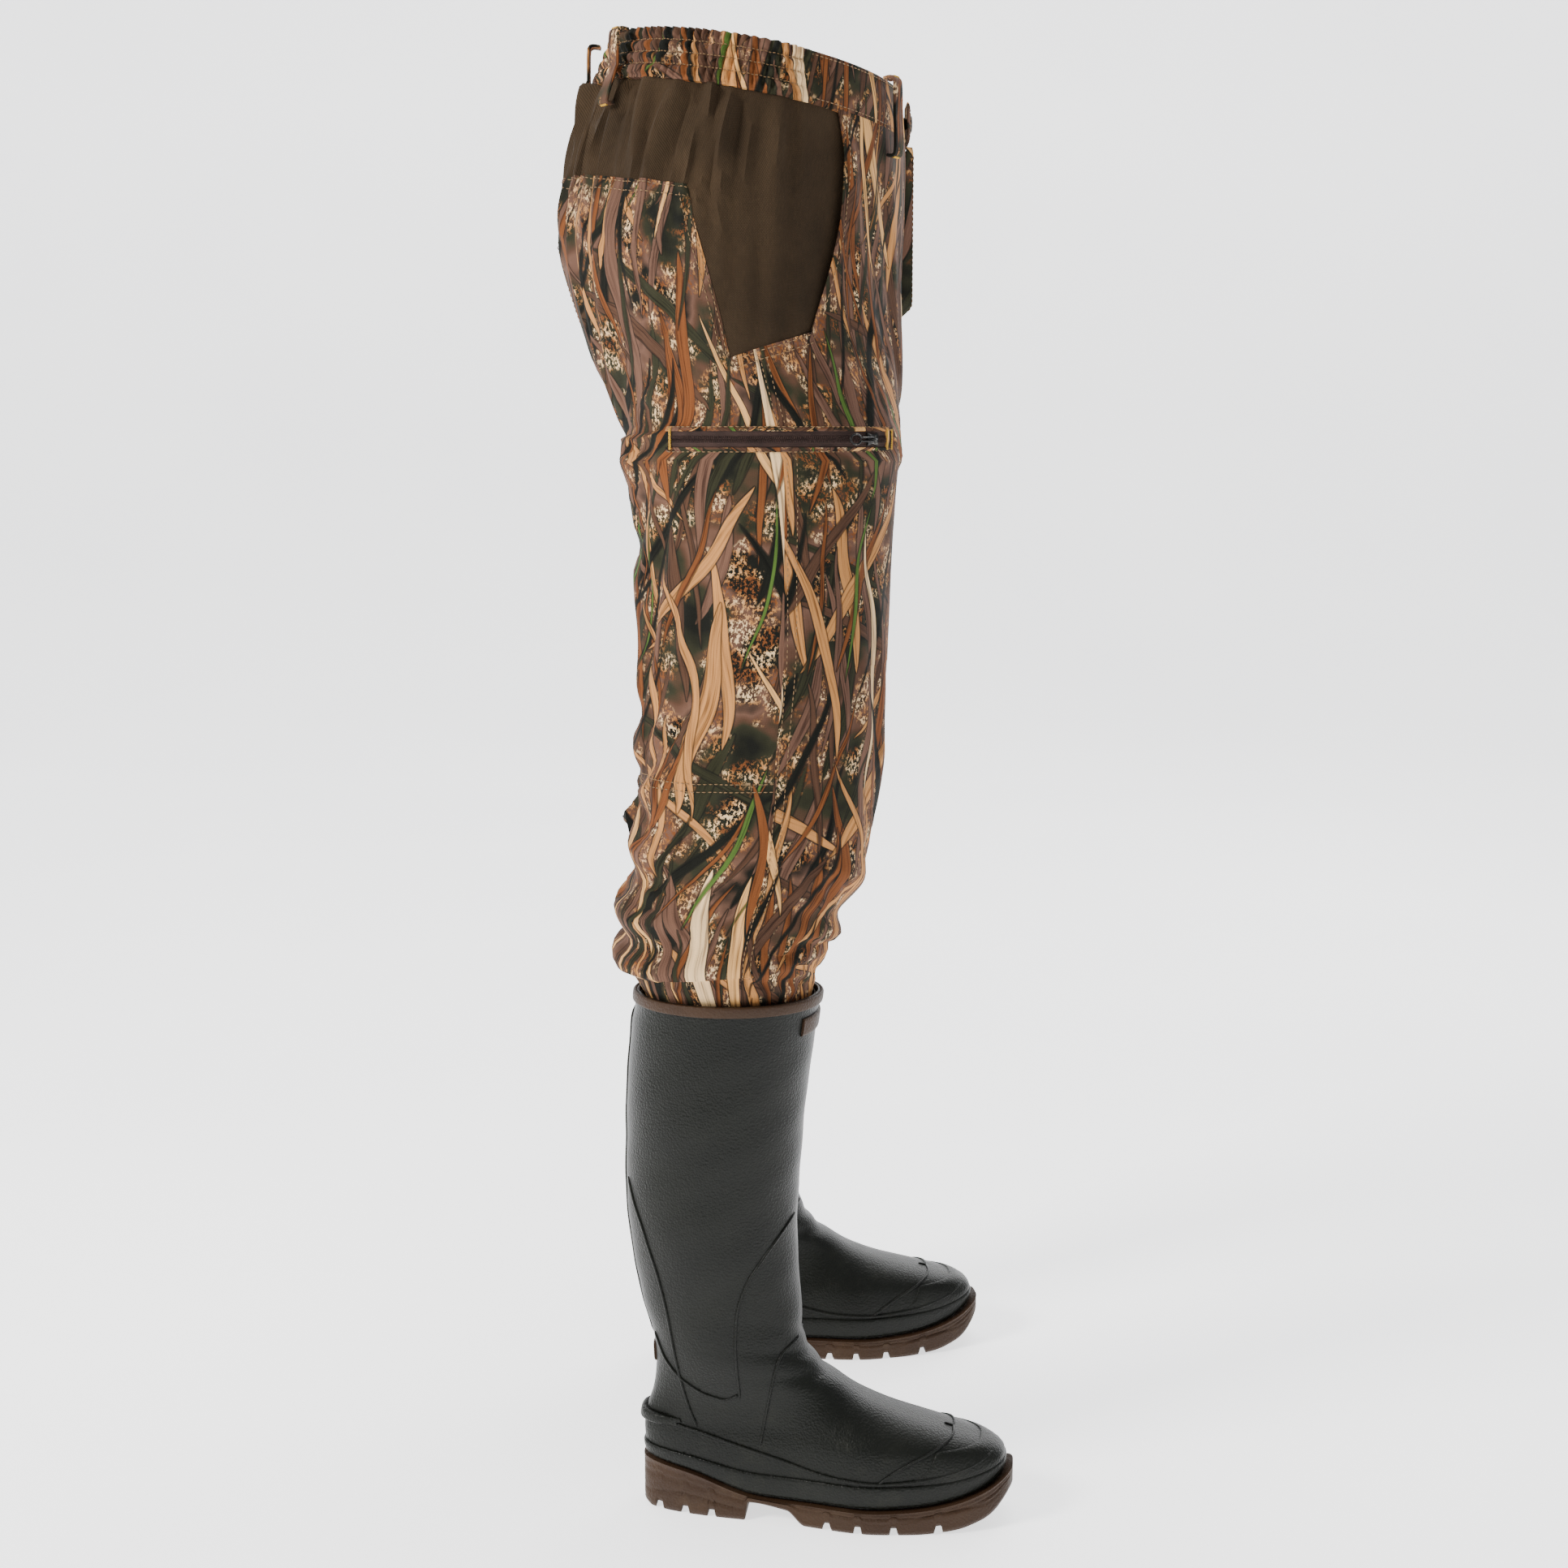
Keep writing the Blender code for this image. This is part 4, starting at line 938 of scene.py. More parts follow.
def ribbed_material(name, colour, pitch, rough=0.8):
    """Tape, elastic or lining: cloth with a rib along it."""
    shade = Shade(name)
    at = shade.cloth()
    ribs = shade.math("SINE", shade.math("MULTIPLY", shade.dot(at, (0.0, 1.0, 0.0)), 2 * math.pi / pitch))
    across = shade.dot(at, (1.0, 0.0, 0.0))
    picks = shade.math("SINE", shade.math("MULTIPLY", across, 2 * math.pi / (pitch * 0.6)))
    threads = shade.math("ADD", ribs, shade.math("MULTIPLY", picks, 0.5))
    cloudy = shade.noise(at, 90.0, 3.0)
    dark = tuple(0.62 * value for value in colour)
    bright = tuple(1.35 * value for value in colour)
    # The rib height is mixed into the colour: painted shade in the grooves between the ribs and a lighter tone
    # on their crests, over a cloudy tone.
    mixed = shade.math("MULTIPLY_ADD", threads, 0.16, cloudy)
    tint = shade.ramp(mixed, ((0.25, dark), (0.75, bright)))
    normal = shade.bump(threads, 0.5, 0.0003)
    return shade.finish(Base_Color=tint, Roughness=rough, Normal=normal, Specular_IOR_Level=0.25)


def thread_material(name, colour):
    shade = Shade(name)
    at = shade.local()
    twist = shade.noise(at, 1500.0, 2.0)
    wear = shade.noise(at, 40.0, 2.0)
    dark = tuple(0.55 * value for value in colour)
    tint = shade.mix(shade.smooth(twist, 0.3, 0.7), dark, colour)
    tint = shade.mix(shade.math("MULTIPLY", wear, 0.4), tint, dark)
    normal = shade.bump(twist, 0.4, 0.0002)
    return shade.finish(Base_Color=tint, Roughness=0.7, Normal=normal, Specular_IOR_Level=0.3)


def rubber_material(name, dark, light, dust, rough):
    """Moulded rubber: pebbled grain, slight unevenness, bloom and scuffs low down."""
    shade = Shade(name)
    at = shade.local()
    cloudy = shade.noise(at, 18.0, 4.0)
    base = shade.ramp(cloudy, ((0.3, dark), (0.7, light)))
    low = shade.math("SUBTRACT", 1.0, shade.smooth(shade.parts(at)[2], 0.02, 0.20))
    scuffs = shade.smooth(shade.noise(at, 42.0, 5.0, 0.65), 0.50, 0.78)
    worn = shade.math("MULTIPLY", scuffs, shade.math("MULTIPLY_ADD", low, 0.16, 0.07))
    colour = shade.mix(worn, base, dust)
    pebbles = shade.node("ShaderNodeTexVoronoi", {"Vector": at, "Scale": 560.0}).outputs["Distance"]
    pores = shade.noise(at, 1100.0, 2.0)
    swell = shade.noise(at, 34.0, 2.0)
    normal = shade.bump(swell, 0.22, 0.0014)
    normal = shade.bump(shade.math("ADD", pebbles, shade.math("MULTIPLY", pores, 0.5)), 0.55, 0.0007, normal)
    gloss = shade.math("MULTIPLY_ADD", shade.noise(at, 9.0, 4.0), 0.20, rough)
    gloss = shade.math("ADD", gloss, shade.math("MULTIPLY", worn, 0.3))
    return shade.finish(Base_Color=colour, Roughness=gloss, Normal=normal, Specular_IOR_Level=0.17)


def metal_material(name, colour, bare):
    shade = Shade(name)
    at = shade.local()
    scratches = shade.noise(shade.scaled(at, (900.0, 200.0, 900.0)), 1.0, 3.0)
    worn = shade.smooth(shade.noise(at, 240.0, 4.0), 0.56, 0.70)
    tint = shade.mix(shade.math("MULTIPLY", worn, 0.6), colour, bare)
    rough = shade.math("MULTIPLY_ADD", scratches, 0.25, 0.24)
    normal = shade.bump(scratches, 0.15, 0.0002)
    return shade.finish(Base_Color=tint, Roughness=rough, Metallic=0.9, Normal=normal)


CAMO = camo_material()
TWILL = twill_material()
TAPE = ribbed_material("zip_tape_look", tone(50, 35, 30), 0.0012)
LINING = ribbed_material("lining_look", tone(62, 58, 50), 0.0014, 0.9)
FOAM = ribbed_material("insole_look", tone(92, 88, 82), 0.0022, 0.92)
YELLOW = thread_material("yellow_thread", tone(224, 172, 52))
BROWN_THREAD = thread_material("brown_thread", tone(142, 112, 78))
RUBBER = rubber_material("rubber_look", tone(9, 11, 7), tone(15, 17, 12), tone(44, 44, 36), 0.27)
BROWN_RUBBER = rubber_material(
    "brown_rubber_look", tone(46, 31, 20), tone(57, 40, 26), tone(86, 70, 52), 0.42)
BLACK_METAL = metal_material("zip_metal_look", tone(38, 37, 36), tone(120, 116, 108))
SNAP_METAL = metal_material("snap_metal_look", tone(56, 52, 48), tone(140, 134, 124))


# ---------------------------------------------------------------- trousers

MOUTH_LEVELS = (0.985, 1.078, BAND_BOTTOM)
MOUTH_PLACES = (0.367, 0.300, 0.320)
YOKE_TIP = (0.523, 0.964)
YOKE_CORNER = (0.573, 1.090)
YOKE_BACK = ((0.573, 1.090), (0.68, 1.092), (0.787, 1.094), (0.893, 1.096), (1.0, 1.098))
LEG_FOOT = 0.405


def mouth_place(level):
    """Where the hand pocket's mouth runs, as a curve through its two ends and its middle."""
    curve = np.polyfit(MOUTH_LEVELS, MOUTH_PLACES, 2)
    return np.polyval(curve, np.clip(level, MOUTH_LEVELS[0], MOUTH_LEVELS[-1]))


def diagonal_place(level):
    """The edge between yoke and seat panel, from the yoke's tip to its corner."""
    curve = np.polyfit((0.964, 1.030, 1.090), (0.523, 0.534, 0.573), 2)
    return np.polyval(curve, level)


def between(left, right, columns):
    """Grid rows from a left edge to a right edge, both arrays of (place, level)."""
    share = np.linspace(0, 1, columns)[None, :, None]
    return left[:, None] * (1 - share) + right[:, None] * share


def edge_line(places, levels):
    places, levels = np.broadcast_arrays(np.asarray(places, float), np.asarray(levels, float))
    return np.stack([places, levels], -1)


FRONT_COLUMNS, SIDE_COLUMNS, TIP_COLUMNS, BACK_COLUMNS = 44, 14, 7, 56
rise = np.linspace(MOUTH_LEVELS[0], BAND_BOTTOM, 40)
FRONT_UPPER = (
    between(edge_line(0.0, rise), edge_line(mouth_place(rise), rise), FRONT_COLUMNS),
    patch(polyline(((0, PANEL_SPLIT), (0.367, PANEL_SPLIT)), FRONT_COLUMNS),
          polyline(((0, 0.985), (0.367, 0.985)), FRONT_COLUMNS), 56),
    patch(polyline(((0.367, PANEL_SPLIT), (SIDE_SEAM, PANEL_SPLIT)), SIDE_COLUMNS),
          polyline(((0.367, 0.985), (SIDE_SEAM, 0.971)), SIDE_COLUMNS), 56),
)
slope = np.linspace(0, 1, 28)
seat_left_levels = YOKE_TIP[1] + slope * (YOKE_CORNER[1] - YOKE_TIP[1])
seat_left = edge_line(diagonal_place(seat_left_levels), seat_left_levels)
seat_right = edge_line(1.0, YOKE_TIP[1] + slope * (YOKE_BACK[-1][1] - YOKE_TIP[1]))
seat_grid = between(seat_left, seat_right, BACK_COLUMNS)
BACK_UPPER = (
    patch(polyline(((SIDE_SEAM, PANEL_SPLIT), (YOKE_TIP[0], PANEL_SPLIT)), TIP_COLUMNS),
          polyline(((SIDE_SEAM, 0.971), YOKE_TIP), TIP_COLUMNS), 50),
    patch(polyline(((YOKE_TIP[0], PANEL_SPLIT), (1, PANEL_SPLIT)), BACK_COLUMNS),
          polyline((YOKE_TIP, (1, YOKE_TIP[1])), BACK_COLUMNS), 50),
    seat_grid,
)
yoke_rise = np.linspace(0, 1, 26)
yoke_left_levels = MOUTH_LEVELS[0] + yoke_rise * (YOKE_CORNER[1] - MOUTH_LEVELS[0])
yoke_right_levels = YOKE_TIP[1] + yoke_rise * (YOKE_CORNER[1] - YOKE_TIP[1])
yoke_top = np.linspace(YOKE_CORNER[1], BAND_BOTTOM, 20)
LAP = 0.034  # how far the yoke runs under the front panel, as a place
YOKE = (
    between(edge_line(mouth_place(yoke_left_levels), yoke_left_levels),
            edge_line(diagonal_place(yoke_right_levels), yoke_right_levels), 24),
    between(edge_line(mouth_place(yoke_top), yoke_top), edge_line(YOKE_CORNER[0], yoke_top), 24),
    patch(polyline(YOKE_BACK, BACK_COLUMNS),
          polyline(((YOKE_CORNER[0], BAND_BOTTOM), (1, BAND_BOTTOM)), BACK_COLUMNS), 20),
    between(edge_line(mouth_place(yoke_left_levels) - LAP, yoke_left_levels),
            edge_line(mouth_place(yoke_left_levels), yoke_left_levels), 6),
    between(edge_line(mouth_place(yoke_top) - LAP, yoke_top), edge_line(mouth_place(yoke_top), yoke_top), 6),
)


def leg_grid(first, last, columns):
    return patch(polyline(((first, LEG_FOOT), (last, LEG_FOOT)), columns),
                 polyline(((first, PANEL_SPLIT), (last, PANEL_SPLIT)), columns), 74)


def gape(level):
    """How far open the pocket mouth stands, 0 at its ends and 1 in its middle."""
    return ease(level, MOUTH_LEVELS[0] + 0.004, 1.05) * (1 - ease(level, 1.130, BAND_BOTTOM - 0.004))


def front_lift(place, level):
    mouth = mouth_place(level)
    near = ease(place, mouth - 0.060, mouth) * (level > MOUTH_LEVELS[0])
    return 0.0004 + 0.0042 * near * gape(level)


def yoke_lift(place, level):
    under = 1 - ease(place, mouth_place(level) - 0.004, mouth_place(level) + 0.030)
    return -0.0006 - 0.0022 * under


def hip_bend(piece):
    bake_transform(piece)


def knee_bend(piece):
    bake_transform(piece)


FRONT_PRINT, BACK_PRINT = (0.05, (0.13, 0.02)), (-0.10, (0.71, 0.33))  # turn and shift of the camouflage


def pocket_bag(name, side, word, foot, top, columns, rows, inside):
    """A flat bag inside the cloth, between two level lines of (first place, last place, level)."""
    ends = [((first, level), (last, level)) for first, last, level in (foot, top)]
    bag = patch(polyline(ends[0], columns), polyline(ends[1], columns), rows)
    pocket = cloth_panel(f"{name}_{word}", side, (bag,), LINING, lift=lambda p, q: np.full(p.shape, -inside))
    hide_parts(f"{name}_bag_{word}")
    hip_bend(pocket)


def make_panels(side, word):
    front = cloth_panel(f"front_leg_{word}", side, FRONT_UPPER, CAMO, *FRONT_PRINT, front_lift)
    back = cloth_panel(f"back_leg_{word}", side, BACK_UPPER, CAMO, *BACK_PRINT)
    yoke = cloth_panel(f"yoke_{word}", side, YOKE, TWILL, 0.0, (0.2, 0.1), yoke_lift)
    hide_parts(f"front_panel_{word}", f"thigh_front_{word}", f"hip_section_{word}")
    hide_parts(f"seat_panel_{word}", f"thigh_back_{word}")
    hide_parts(f"yoke_panel_{word}")
    for piece in (front, back, yoke):
        hip_bend(piece)
    front_grid, back_grid = leg_grid(0.0, SIDE_SEAM, 58), leg_grid(SIDE_SEAM, 1.0, 62)
    lower_front = cloth_panel(f"front_leg_lower_{word}", side, (front_grid,), CAMO, *FRONT_PRINT)
    lower_back = cloth_panel(f"back_leg_lower_{word}", side, (back_grid,), CAMO, *BACK_PRINT)
    for piece in (lower_front, lower_back):
        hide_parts(f"knee_section_{word}", f"leg_cuff_{word}")
        knee_bend(piece)

    pocket_bag("hand_pocket", side, word, (0.20, 0.44, 1.000), (0.20, 0.42, 1.160), 20, 22, 0.0060)
    pocket_bag("zip_pocket", side, word, (0.32, 0.60, 0.740), (0.32, 0.60, 0.870), 24, 18, 0.0055)


def make_stitching(side, word):
    """Twin topstitching along every seam, on the part of each panel that bends alike."""
    hip, knee, welts = Batch(), Batch(), Batch()
    twin_rows(hip, side, ((SIDE_SEAM, PANEL_SPLIT), (SIDE_SEAM, ZIP_LEVEL - 0.012)))
    twin_rows(hip, side, ((SIDE_SEAM, ZIP_LEVEL + 0.012), (SIDE_SEAM, 0.968)))
    twin_rows(knee, side, ((SIDE_SEAM, 0.470), (SIDE_SEAM, PANEL_SPLIT)))
    lower_edge = ((0.372, 0.985), (0.42, 0.978), (SIDE_SEAM, 0.971), YOKE_TIP)
    twin_rows(hip, side, lower_edge, first=-0.0022, height=0.0008)
    levels = np.linspace(YOKE_TIP[1], YOKE_CORNER[1], 20)
    twin_rows(hip, side, edge_line(diagonal_place(levels), levels), first=-0.0022)
    twin_rows(hip, side, YOKE_BACK, first=-0.0022)
    # Seam across the back of the leg below the thigh, with a short row down its rear end.
    twin_rows(knee, side, ((SIDE_SEAM, 0.622), (0.60, 0.621), (0.80, 0.620), (0.93, 0.620)), first=0.0022)
    stitch_row(knee, side, ((0.90, 0.580), (0.90, 0.640)))
    # Inner leg, front and back seams.
    twin_rows(knee, side, ((0.010, 0.470), (0.010, PANEL_SPLIT)))
    twin_rows(hip, side, ((0.010, PANEL_SPLIT), (0.012, 0.872)))
    twin_rows(hip, side, ((0.985, 0.915), (0.985, 1.094)))
    # Edge of the pocket mouth.
    levels = np.linspace(1.000, BAND_BOTTOM - 0.004, 24)
    edge = edge_line(mouth_place(levels) - 0.010, levels)
    stitch_row(hip, side, edge, height=0.0018 + 0.0030 * gape(np.linspace(1.0, 1.166, 400)))
    # The zip's welts, above and below the tape.
    for up in (-0.0098, 0.0098):
        arc_stitches(welts, side, ZIP_ARC[0] + 0.02, ZIP_ARC[1] - 0.01, up)
    welts.build(f"zip_stitches_{word}", BROWN_THREAD, f"thigh_{word}")
    upper = hip.build(f"stitches_{word}", BROWN_THREAD)
    hip_bend(upper)
    lower = knee.build(f"stitches_lower_{word}", BROWN_THREAD)
    knee_bend(lower)


def arc_at(side, angle, off, up):
    radius = ZIP_RADIUS + off
    angle = np.asarray(angle, float)
    x = ZIP_CENTRE[0] + radius * np.cos(angle)
    y = ZIP_CENTRE[1] + radius * np.sin(angle)
    return np.stack(np.broadcast_arrays(x, side * y, ZIP_LEVEL + up), -1)


def arc_stitches(batch, side, first, last, up):
    step = STITCH_PITCH / ZIP_RADIUS
    for start in np.arange(first, last, step):
        angles = start + np.linspace(0, STITCH_LENGTH, 4) / ZIP_RADIUS
        offs = np.array((0.0002, 0.0007, 0.0007, 0.0002))
        batch.add(*tube(arc_at(side, angles, offs, up), STITCH_RADIUS, 5))


def arc_strip(side, first, last, outline, count):
    """A strip of constant section along the zip's arc: points, faces and pattern coordinates."""
    angles = np.linspace(first, last, count)
    outline = np.array(outline)
    rings = [arc_at(side, angle, outline[:, 0], outline[:, 1]) for angle in angles]
    width = len(outline)
    coords = np.stack(np.broadcast_arrays(
        (angles * ZIP_RADIUS)[:, None], outline[None, :, 1], np.zeros((count, width))), -1)
    return np.concatenate(rings), swept_faces(count, width), coords.reshape(-1, 3)


# Sections along the zip's arc, as (off the arc, up). The welt's is the upper one, mirrored for the lower.
TAPE_SECTION = ((-0.0003, -0.0080), (0.0007, -0.0078), (0.0011, -0.0030), (0.0011, 0.0030), (0.0007, 0.0078),
                (-0.0003, 0.0080))
WELT_SECTION = ((-0.0014, 0.0104), (0.0002, 0.0100), (0.0011, 0.0088), (0.0018, 0.0072), (0.0017, 0.0064),
                (0.0008, 0.0063), (0.0000, 0.0088))
STOP_SECTION = ((0.0000, -0.0075), (0.0021, -0.0070), (0.0026, 0.0), (0.0021, 0.0070), (0.0000, 0.0075))
ZIP_END_LAP = 0.02  # how far the welts run past the tape, in radians
COIL_PITCH, COIL_RADIUS = 0.0017, 0.00034


def make_zip(side, word):
    body = f"thigh_{word}"
    points, faces, coords = arc_strip(side, *ZIP_ARC, TAPE_SECTION, 120)
    tape = make_piece(f"zip_tape_look_{word}", points, faces, TAPE, coords)
    attach(tape, body, f"zip_tape_{word}")
    # Camouflage welts whose folded edges lie over the tape above and below.
    for up, name in ((1, "upper"), (-1, "lower")):
        welt = np.array(WELT_SECTION) * (1, up)
        points, faces, coords = arc_strip(side, ZIP_ARC[0] - ZIP_END_LAP, ZIP_ARC[1] + ZIP_END_LAP, welt, 120)
        coords = coords * (1, 4, 1) + (0.345, 0.93 + 0.1 * up, 0)
        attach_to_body(make_piece(f"zip_welt_{name}_{word}", points, faces, CAMO, coords), body)
    # The coil: one helix each side of the chain's middle line.
    coil = Batch()
    turns = int((ZIP_ARC[1] - ZIP_ARC[0]) * ZIP_RADIUS / COIL_PITCH)
    for half in (-1, 1):
        t = np.linspace(0, turns, turns * 9)
        angles = ZIP_ARC[0] + t / turns * (ZIP_ARC[1] - ZIP_ARC[0])
        swing = 2 * math.pi * t + (math.pi if half > 0 else 0)
        offs = 0.0016 + 0.0006 * np.sin(swing)
        ups = half * (0.0012 + 0.0011 * np.cos(swing))
        coil.add(*tube(arc_at(side, angles, offs, ups), COIL_RADIUS, 5))
    coil.build(f"zip_coil_{word}", TAPE, body)
    # Short stitched camouflage strip that closes the front end, and bar tacks at both ends.
    points, faces, coords = arc_strip(side, ZIP_ARC[0] - ZIP_END_LAP, ZIP_ARC[0] + 0.085, STOP_SECTION, 14)
    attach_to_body(make_piece(f"zip_stop_{word}", points, faces, CAMO, coords + (0.52, 0.41, 0)), body)
    tacks = Batch()
    for angle in (ZIP_ARC[0] + 0.012, ZIP_ARC[0] + 0.075, ZIP_ARC[1] - 0.02):
        centre = arc_at(side, angle, 0.0024, 0.0)
        out = arc_at(side, angle, 1.0, 0.0) - arc_at(side, angle, 0.0, 0.0)
        bar_tack(tacks, centre, (0, 0, 1), out, 0.0165, 0.0024, 20)
    tacks.build(f"zip_tacks_{word}", YELLOW, body)


SLIDER_HALF, BRIDGE_HALF = 0.0058, 0.0040  # half lengths along the zip
# The slider's section: off the arc, and share of its half width.
SLIDER_SECTION = ((0.0024, -1), (0.0042, -1), (0.0049, -0.7), (0.0051, 0), (0.0049, 0.7), (0.0042, 1),
                  (0.0024, 1))


def make_zip_slider(side, word):
    """The slider, two wings on a waisted body, with a bridge over it."""
    slider = Batch()
    steps = np.linspace(-SLIDER_HALF, SLIDER_HALF, 13)
    half_width = 0.0036 + 0.0016 * np.abs(steps / SLIDER_HALF) ** 1.5
    outline = np.array(SLIDER_SECTION)
    rows = [arc_at(side, ZIP_REST + step / ZIP_RADIUS, outline[:, 0], half * outline[:, 1])
            for step, half in zip(steps, half_width)]
    slider.add(np.concatenate(rows), swept_faces(len(rows), len(outline)))
    bow = np.linspace(-BRIDGE_HALF, BRIDGE_HALF, 12)
    arch = 0.0048 + 0.0021 * np.cos(bow / BRIDGE_HALF * math.pi / 2)
    slider.add(*tube(arc_at(side, ZIP_REST + bow / ZIP_RADIUS, arch, 0.0), 0.0008, 8))
    made = slider.build(f"zip_slider_look_{word}", BLACK_METAL)
    attach(made, f"zip_slider_{word}", f"zip_slider_{word}")


def make_zip_puller(side, word):
    """The puller that hangs on the slider's bridge: two bars and a ring."""
    puller = Batch()
    along = np.array((-math.sin(ZIP_REST), side * math.cos(ZIP_REST), 0))
    out = np.array((math.cos(ZIP_REST), side * math.sin(ZIP_REST), 0))
    hinge = arc_at(side, ZIP_REST, 0.0062, 0.0)
    shank = [hinge + along * run + out * 0.0002 for run in np.linspace(0.0004, 0.017, 8)]
    for up in (-0.0014, 0.0014):
        puller.add(*tube(np.array(shank) + (0, 0, up), 0.00075, 7))
    ring = np.linspace(0, 2 * math.pi, 30)
    loop = [
        hinge + along * (0.0228 + 0.0062 * math.cos(t)) + np.array((0, 0, 0.0040 * math.sin(t))) + out * 0.0002
        for t in ring
    ]
    puller.add(*tube(loop, 0.0009, 8, taper=False))
    made = puller.build(f"zip_puller_look_{word}", BLACK_METAL)
    attach(made, f"zip_puller_{word}", f"zip_puller_{word}")


# ---------------------------------------------------------------- waist

def trunk_at(turn, level, off=0.0):
    """Round the trunk: turn 0..1 down the left and 1..2 back along the right."""
    turn, level = np.broadcast_arrays(np.asarray(turn, float), np.asarray(level, float))
    place = np.where(turn <= 1, turn, 2 - turn)
    sign = np.where(turn <= 1, 1.0, -1.0)
    points = trouser_shape(place, level)
    out = normals_of(trouser_shape, np.clip(place, 0.002, 0.998), np.clip(level, 1.16, 1.2), 2e-3, 1e-3)
    points = points + out * np.asarray(off)[..., None]
    points[..., 1] *= sign
    return points


ELASTIC_ROWS = (0.25, 0.50, 0.75)  # stitch rows over the elastic, as shares of the band's height


def band_pleats(turn, rise):
    """Pleats of the elastic: full between the three stitch rows and pinched at each of them."""
    place = np.where(turn <= 1, turn, 2 - turn)
    elastic = ease(place, 0.36, 0.44)
    arc = turn * 0.43
    phase = 2 * math.pi * arc / 0.0082
    wander = 1.4 * np.sin(arc * 61.0 + 2.0 * rise) + 0.9 * np.sin(arc * 143.0 - 3.1 * rise)
    pleat = np.abs(np.sin(0.5 * (phase + wander)))
    pinch = np.min(np.abs(rise[..., None] - np.array(ELASTIC_ROWS)), axis=-1)
    free = 0.30 + 0.70 * ease(pinch, 0.0, 0.085)
    puff = 0.0011 * ease(pinch, 0.0, 0.10)
    return elastic * (0.0044 * pleat * free + puff)


def ring_piece(name, turns, profile, material, heights, coords_shift=(0, 0)):
    """A strip round the waist through (level, offset) rows; its section closes on itself."""
    grid_turn, _ = np.meshgrid(turns, np.arange(len(profile)))
    levels = np.array([level for level, _ in profile])[:, None] + np.zeros_like(grid_turn)
    offs = np.array([off for _, off in profile])[:, None] + np.zeros_like(grid_turn)
    points = trunk_at(grid_turn, levels, offs + heights(grid_turn, levels))
    count, columns = grid_turn.shape
    index = np.arange(count * columns).reshape(count, columns)
    faces = grid_faces(np.concatenate([index, index[:1]]), False).tolist()
    faces += [index[:, 0].tolist(), index[:, -1][::-1].tolist()]
    right, up = coords_shift
    coords = np.stack([grid_turn * 0.45 + right, levels + up, np.zeros_like(levels)], -1)
    return make_piece(name, points.reshape(-1, 3), faces, material, coords.reshape(-1, 3))


def make_waist():
    turns = np.linspace(0.018, 1.982, 980)
    outside = [(level, 0.0003) for level in np.linspace(BAND_BOTTOM - 0.0020, BAND_TOP - 0.001, 26)]
    profile = outside + [(BAND_TOP, -0.0006), (BAND_TOP - 0.001, -0.0024), (BAND_BOTTOM - 0.0020, -0.0030)]
    last_outside = len(outside)

    def pleats(turn, level):
        rise = (level - BAND_BOTTOM) / (BAND_TOP - BAND_BOTTOM)
        height = band_pleats(turn, rise) * np.minimum(1.0, ease(rise, -0.02, 0.05) + 0.3)
        height[last_outside:] *= 0.6
        return height

    band = ring_piece("waistband_look", turns, profile, CAMO, pleats, (1.9, 0.35))
    attach(band, "trousers", "waistband", "waist_elastic")
    foot, middle, top = BAND_BOTTOM + 0.001, 1.190, BAND_TOP - 0.0015
    inside = [(foot, -0.0036), (middle, -0.0034), (top, -0.0032), (top, -0.0044), (middle, -0.0046),
              (foot, -0.0048)]

    def inner_pleats(turn, level):
        return 0.6 * band_pleats(turn, (level - BAND_BOTTOM) / (BAND_TOP - BAND_BOTTOM))

    facing = ring_piece("waist_facing_look", turns, inside, LINING, inner_pleats)
    attach(facing, "trousers", "waist_facing")

    rows = Batch()
    for share in ELASTIC_ROWS:
        level = BAND_BOTTOM + share * (BAND_TOP - BAND_BOTTOM)
        dense = np.linspace(0.40, 1.60, 6000)
        height = band_pleats(dense, np.full_like(dense, share)) + 0.0008
        rows_on_band(rows, trunk_at(dense, np.full_like(dense, level), height), 0.0034, 0.0024)
    for share in (0.07, 0.92):
        level = BAND_BOTTOM + share * (BAND_TOP - BAND_BOTTOM)
        for first, last in ((0.020, 0.40), (1.60, 1.980)):
            dense = np.linspace(first, last, 1500)
            rows_on_band(rows, trunk_at(dense, np.full_like(dense, level), 0.0006))
    rows.build("waist_stitches", BROWN_THREAD, "trousers")


LOOP_PLACES = {
    "back": 1.0, "side_left": 0.785, "side_right": 1.215, "front_left": 0.182, "front_right": 1.818,
}
# The loop's route down the waist, as (distance off the band, level).
LOOP_PATH = ((0.0012, 1.2080), (0.0075, 1.2092), (0.0108, 1.2072), (0.0114, 1.2000), (0.0116, 1.1780),
             (0.0113, 1.1550), (0.0104, 1.1478), (0.0080, 1.1462), (0.0034, 1.1470))
LOOP_HALF, LOOP_THICK = 0.0080, 0.0026
# The webbing's section, in shares of its half width and its thickness.
LOOP_SECTION = ((-1, 0.0), (-0.92, 0.42), (-0.5, 0.5), (0, 0.52), (0.5, 0.5), (0.92, 0.42), (1, 0.0),
                (0.92, -0.5), (0, -0.5), (-0.92, -0.5))


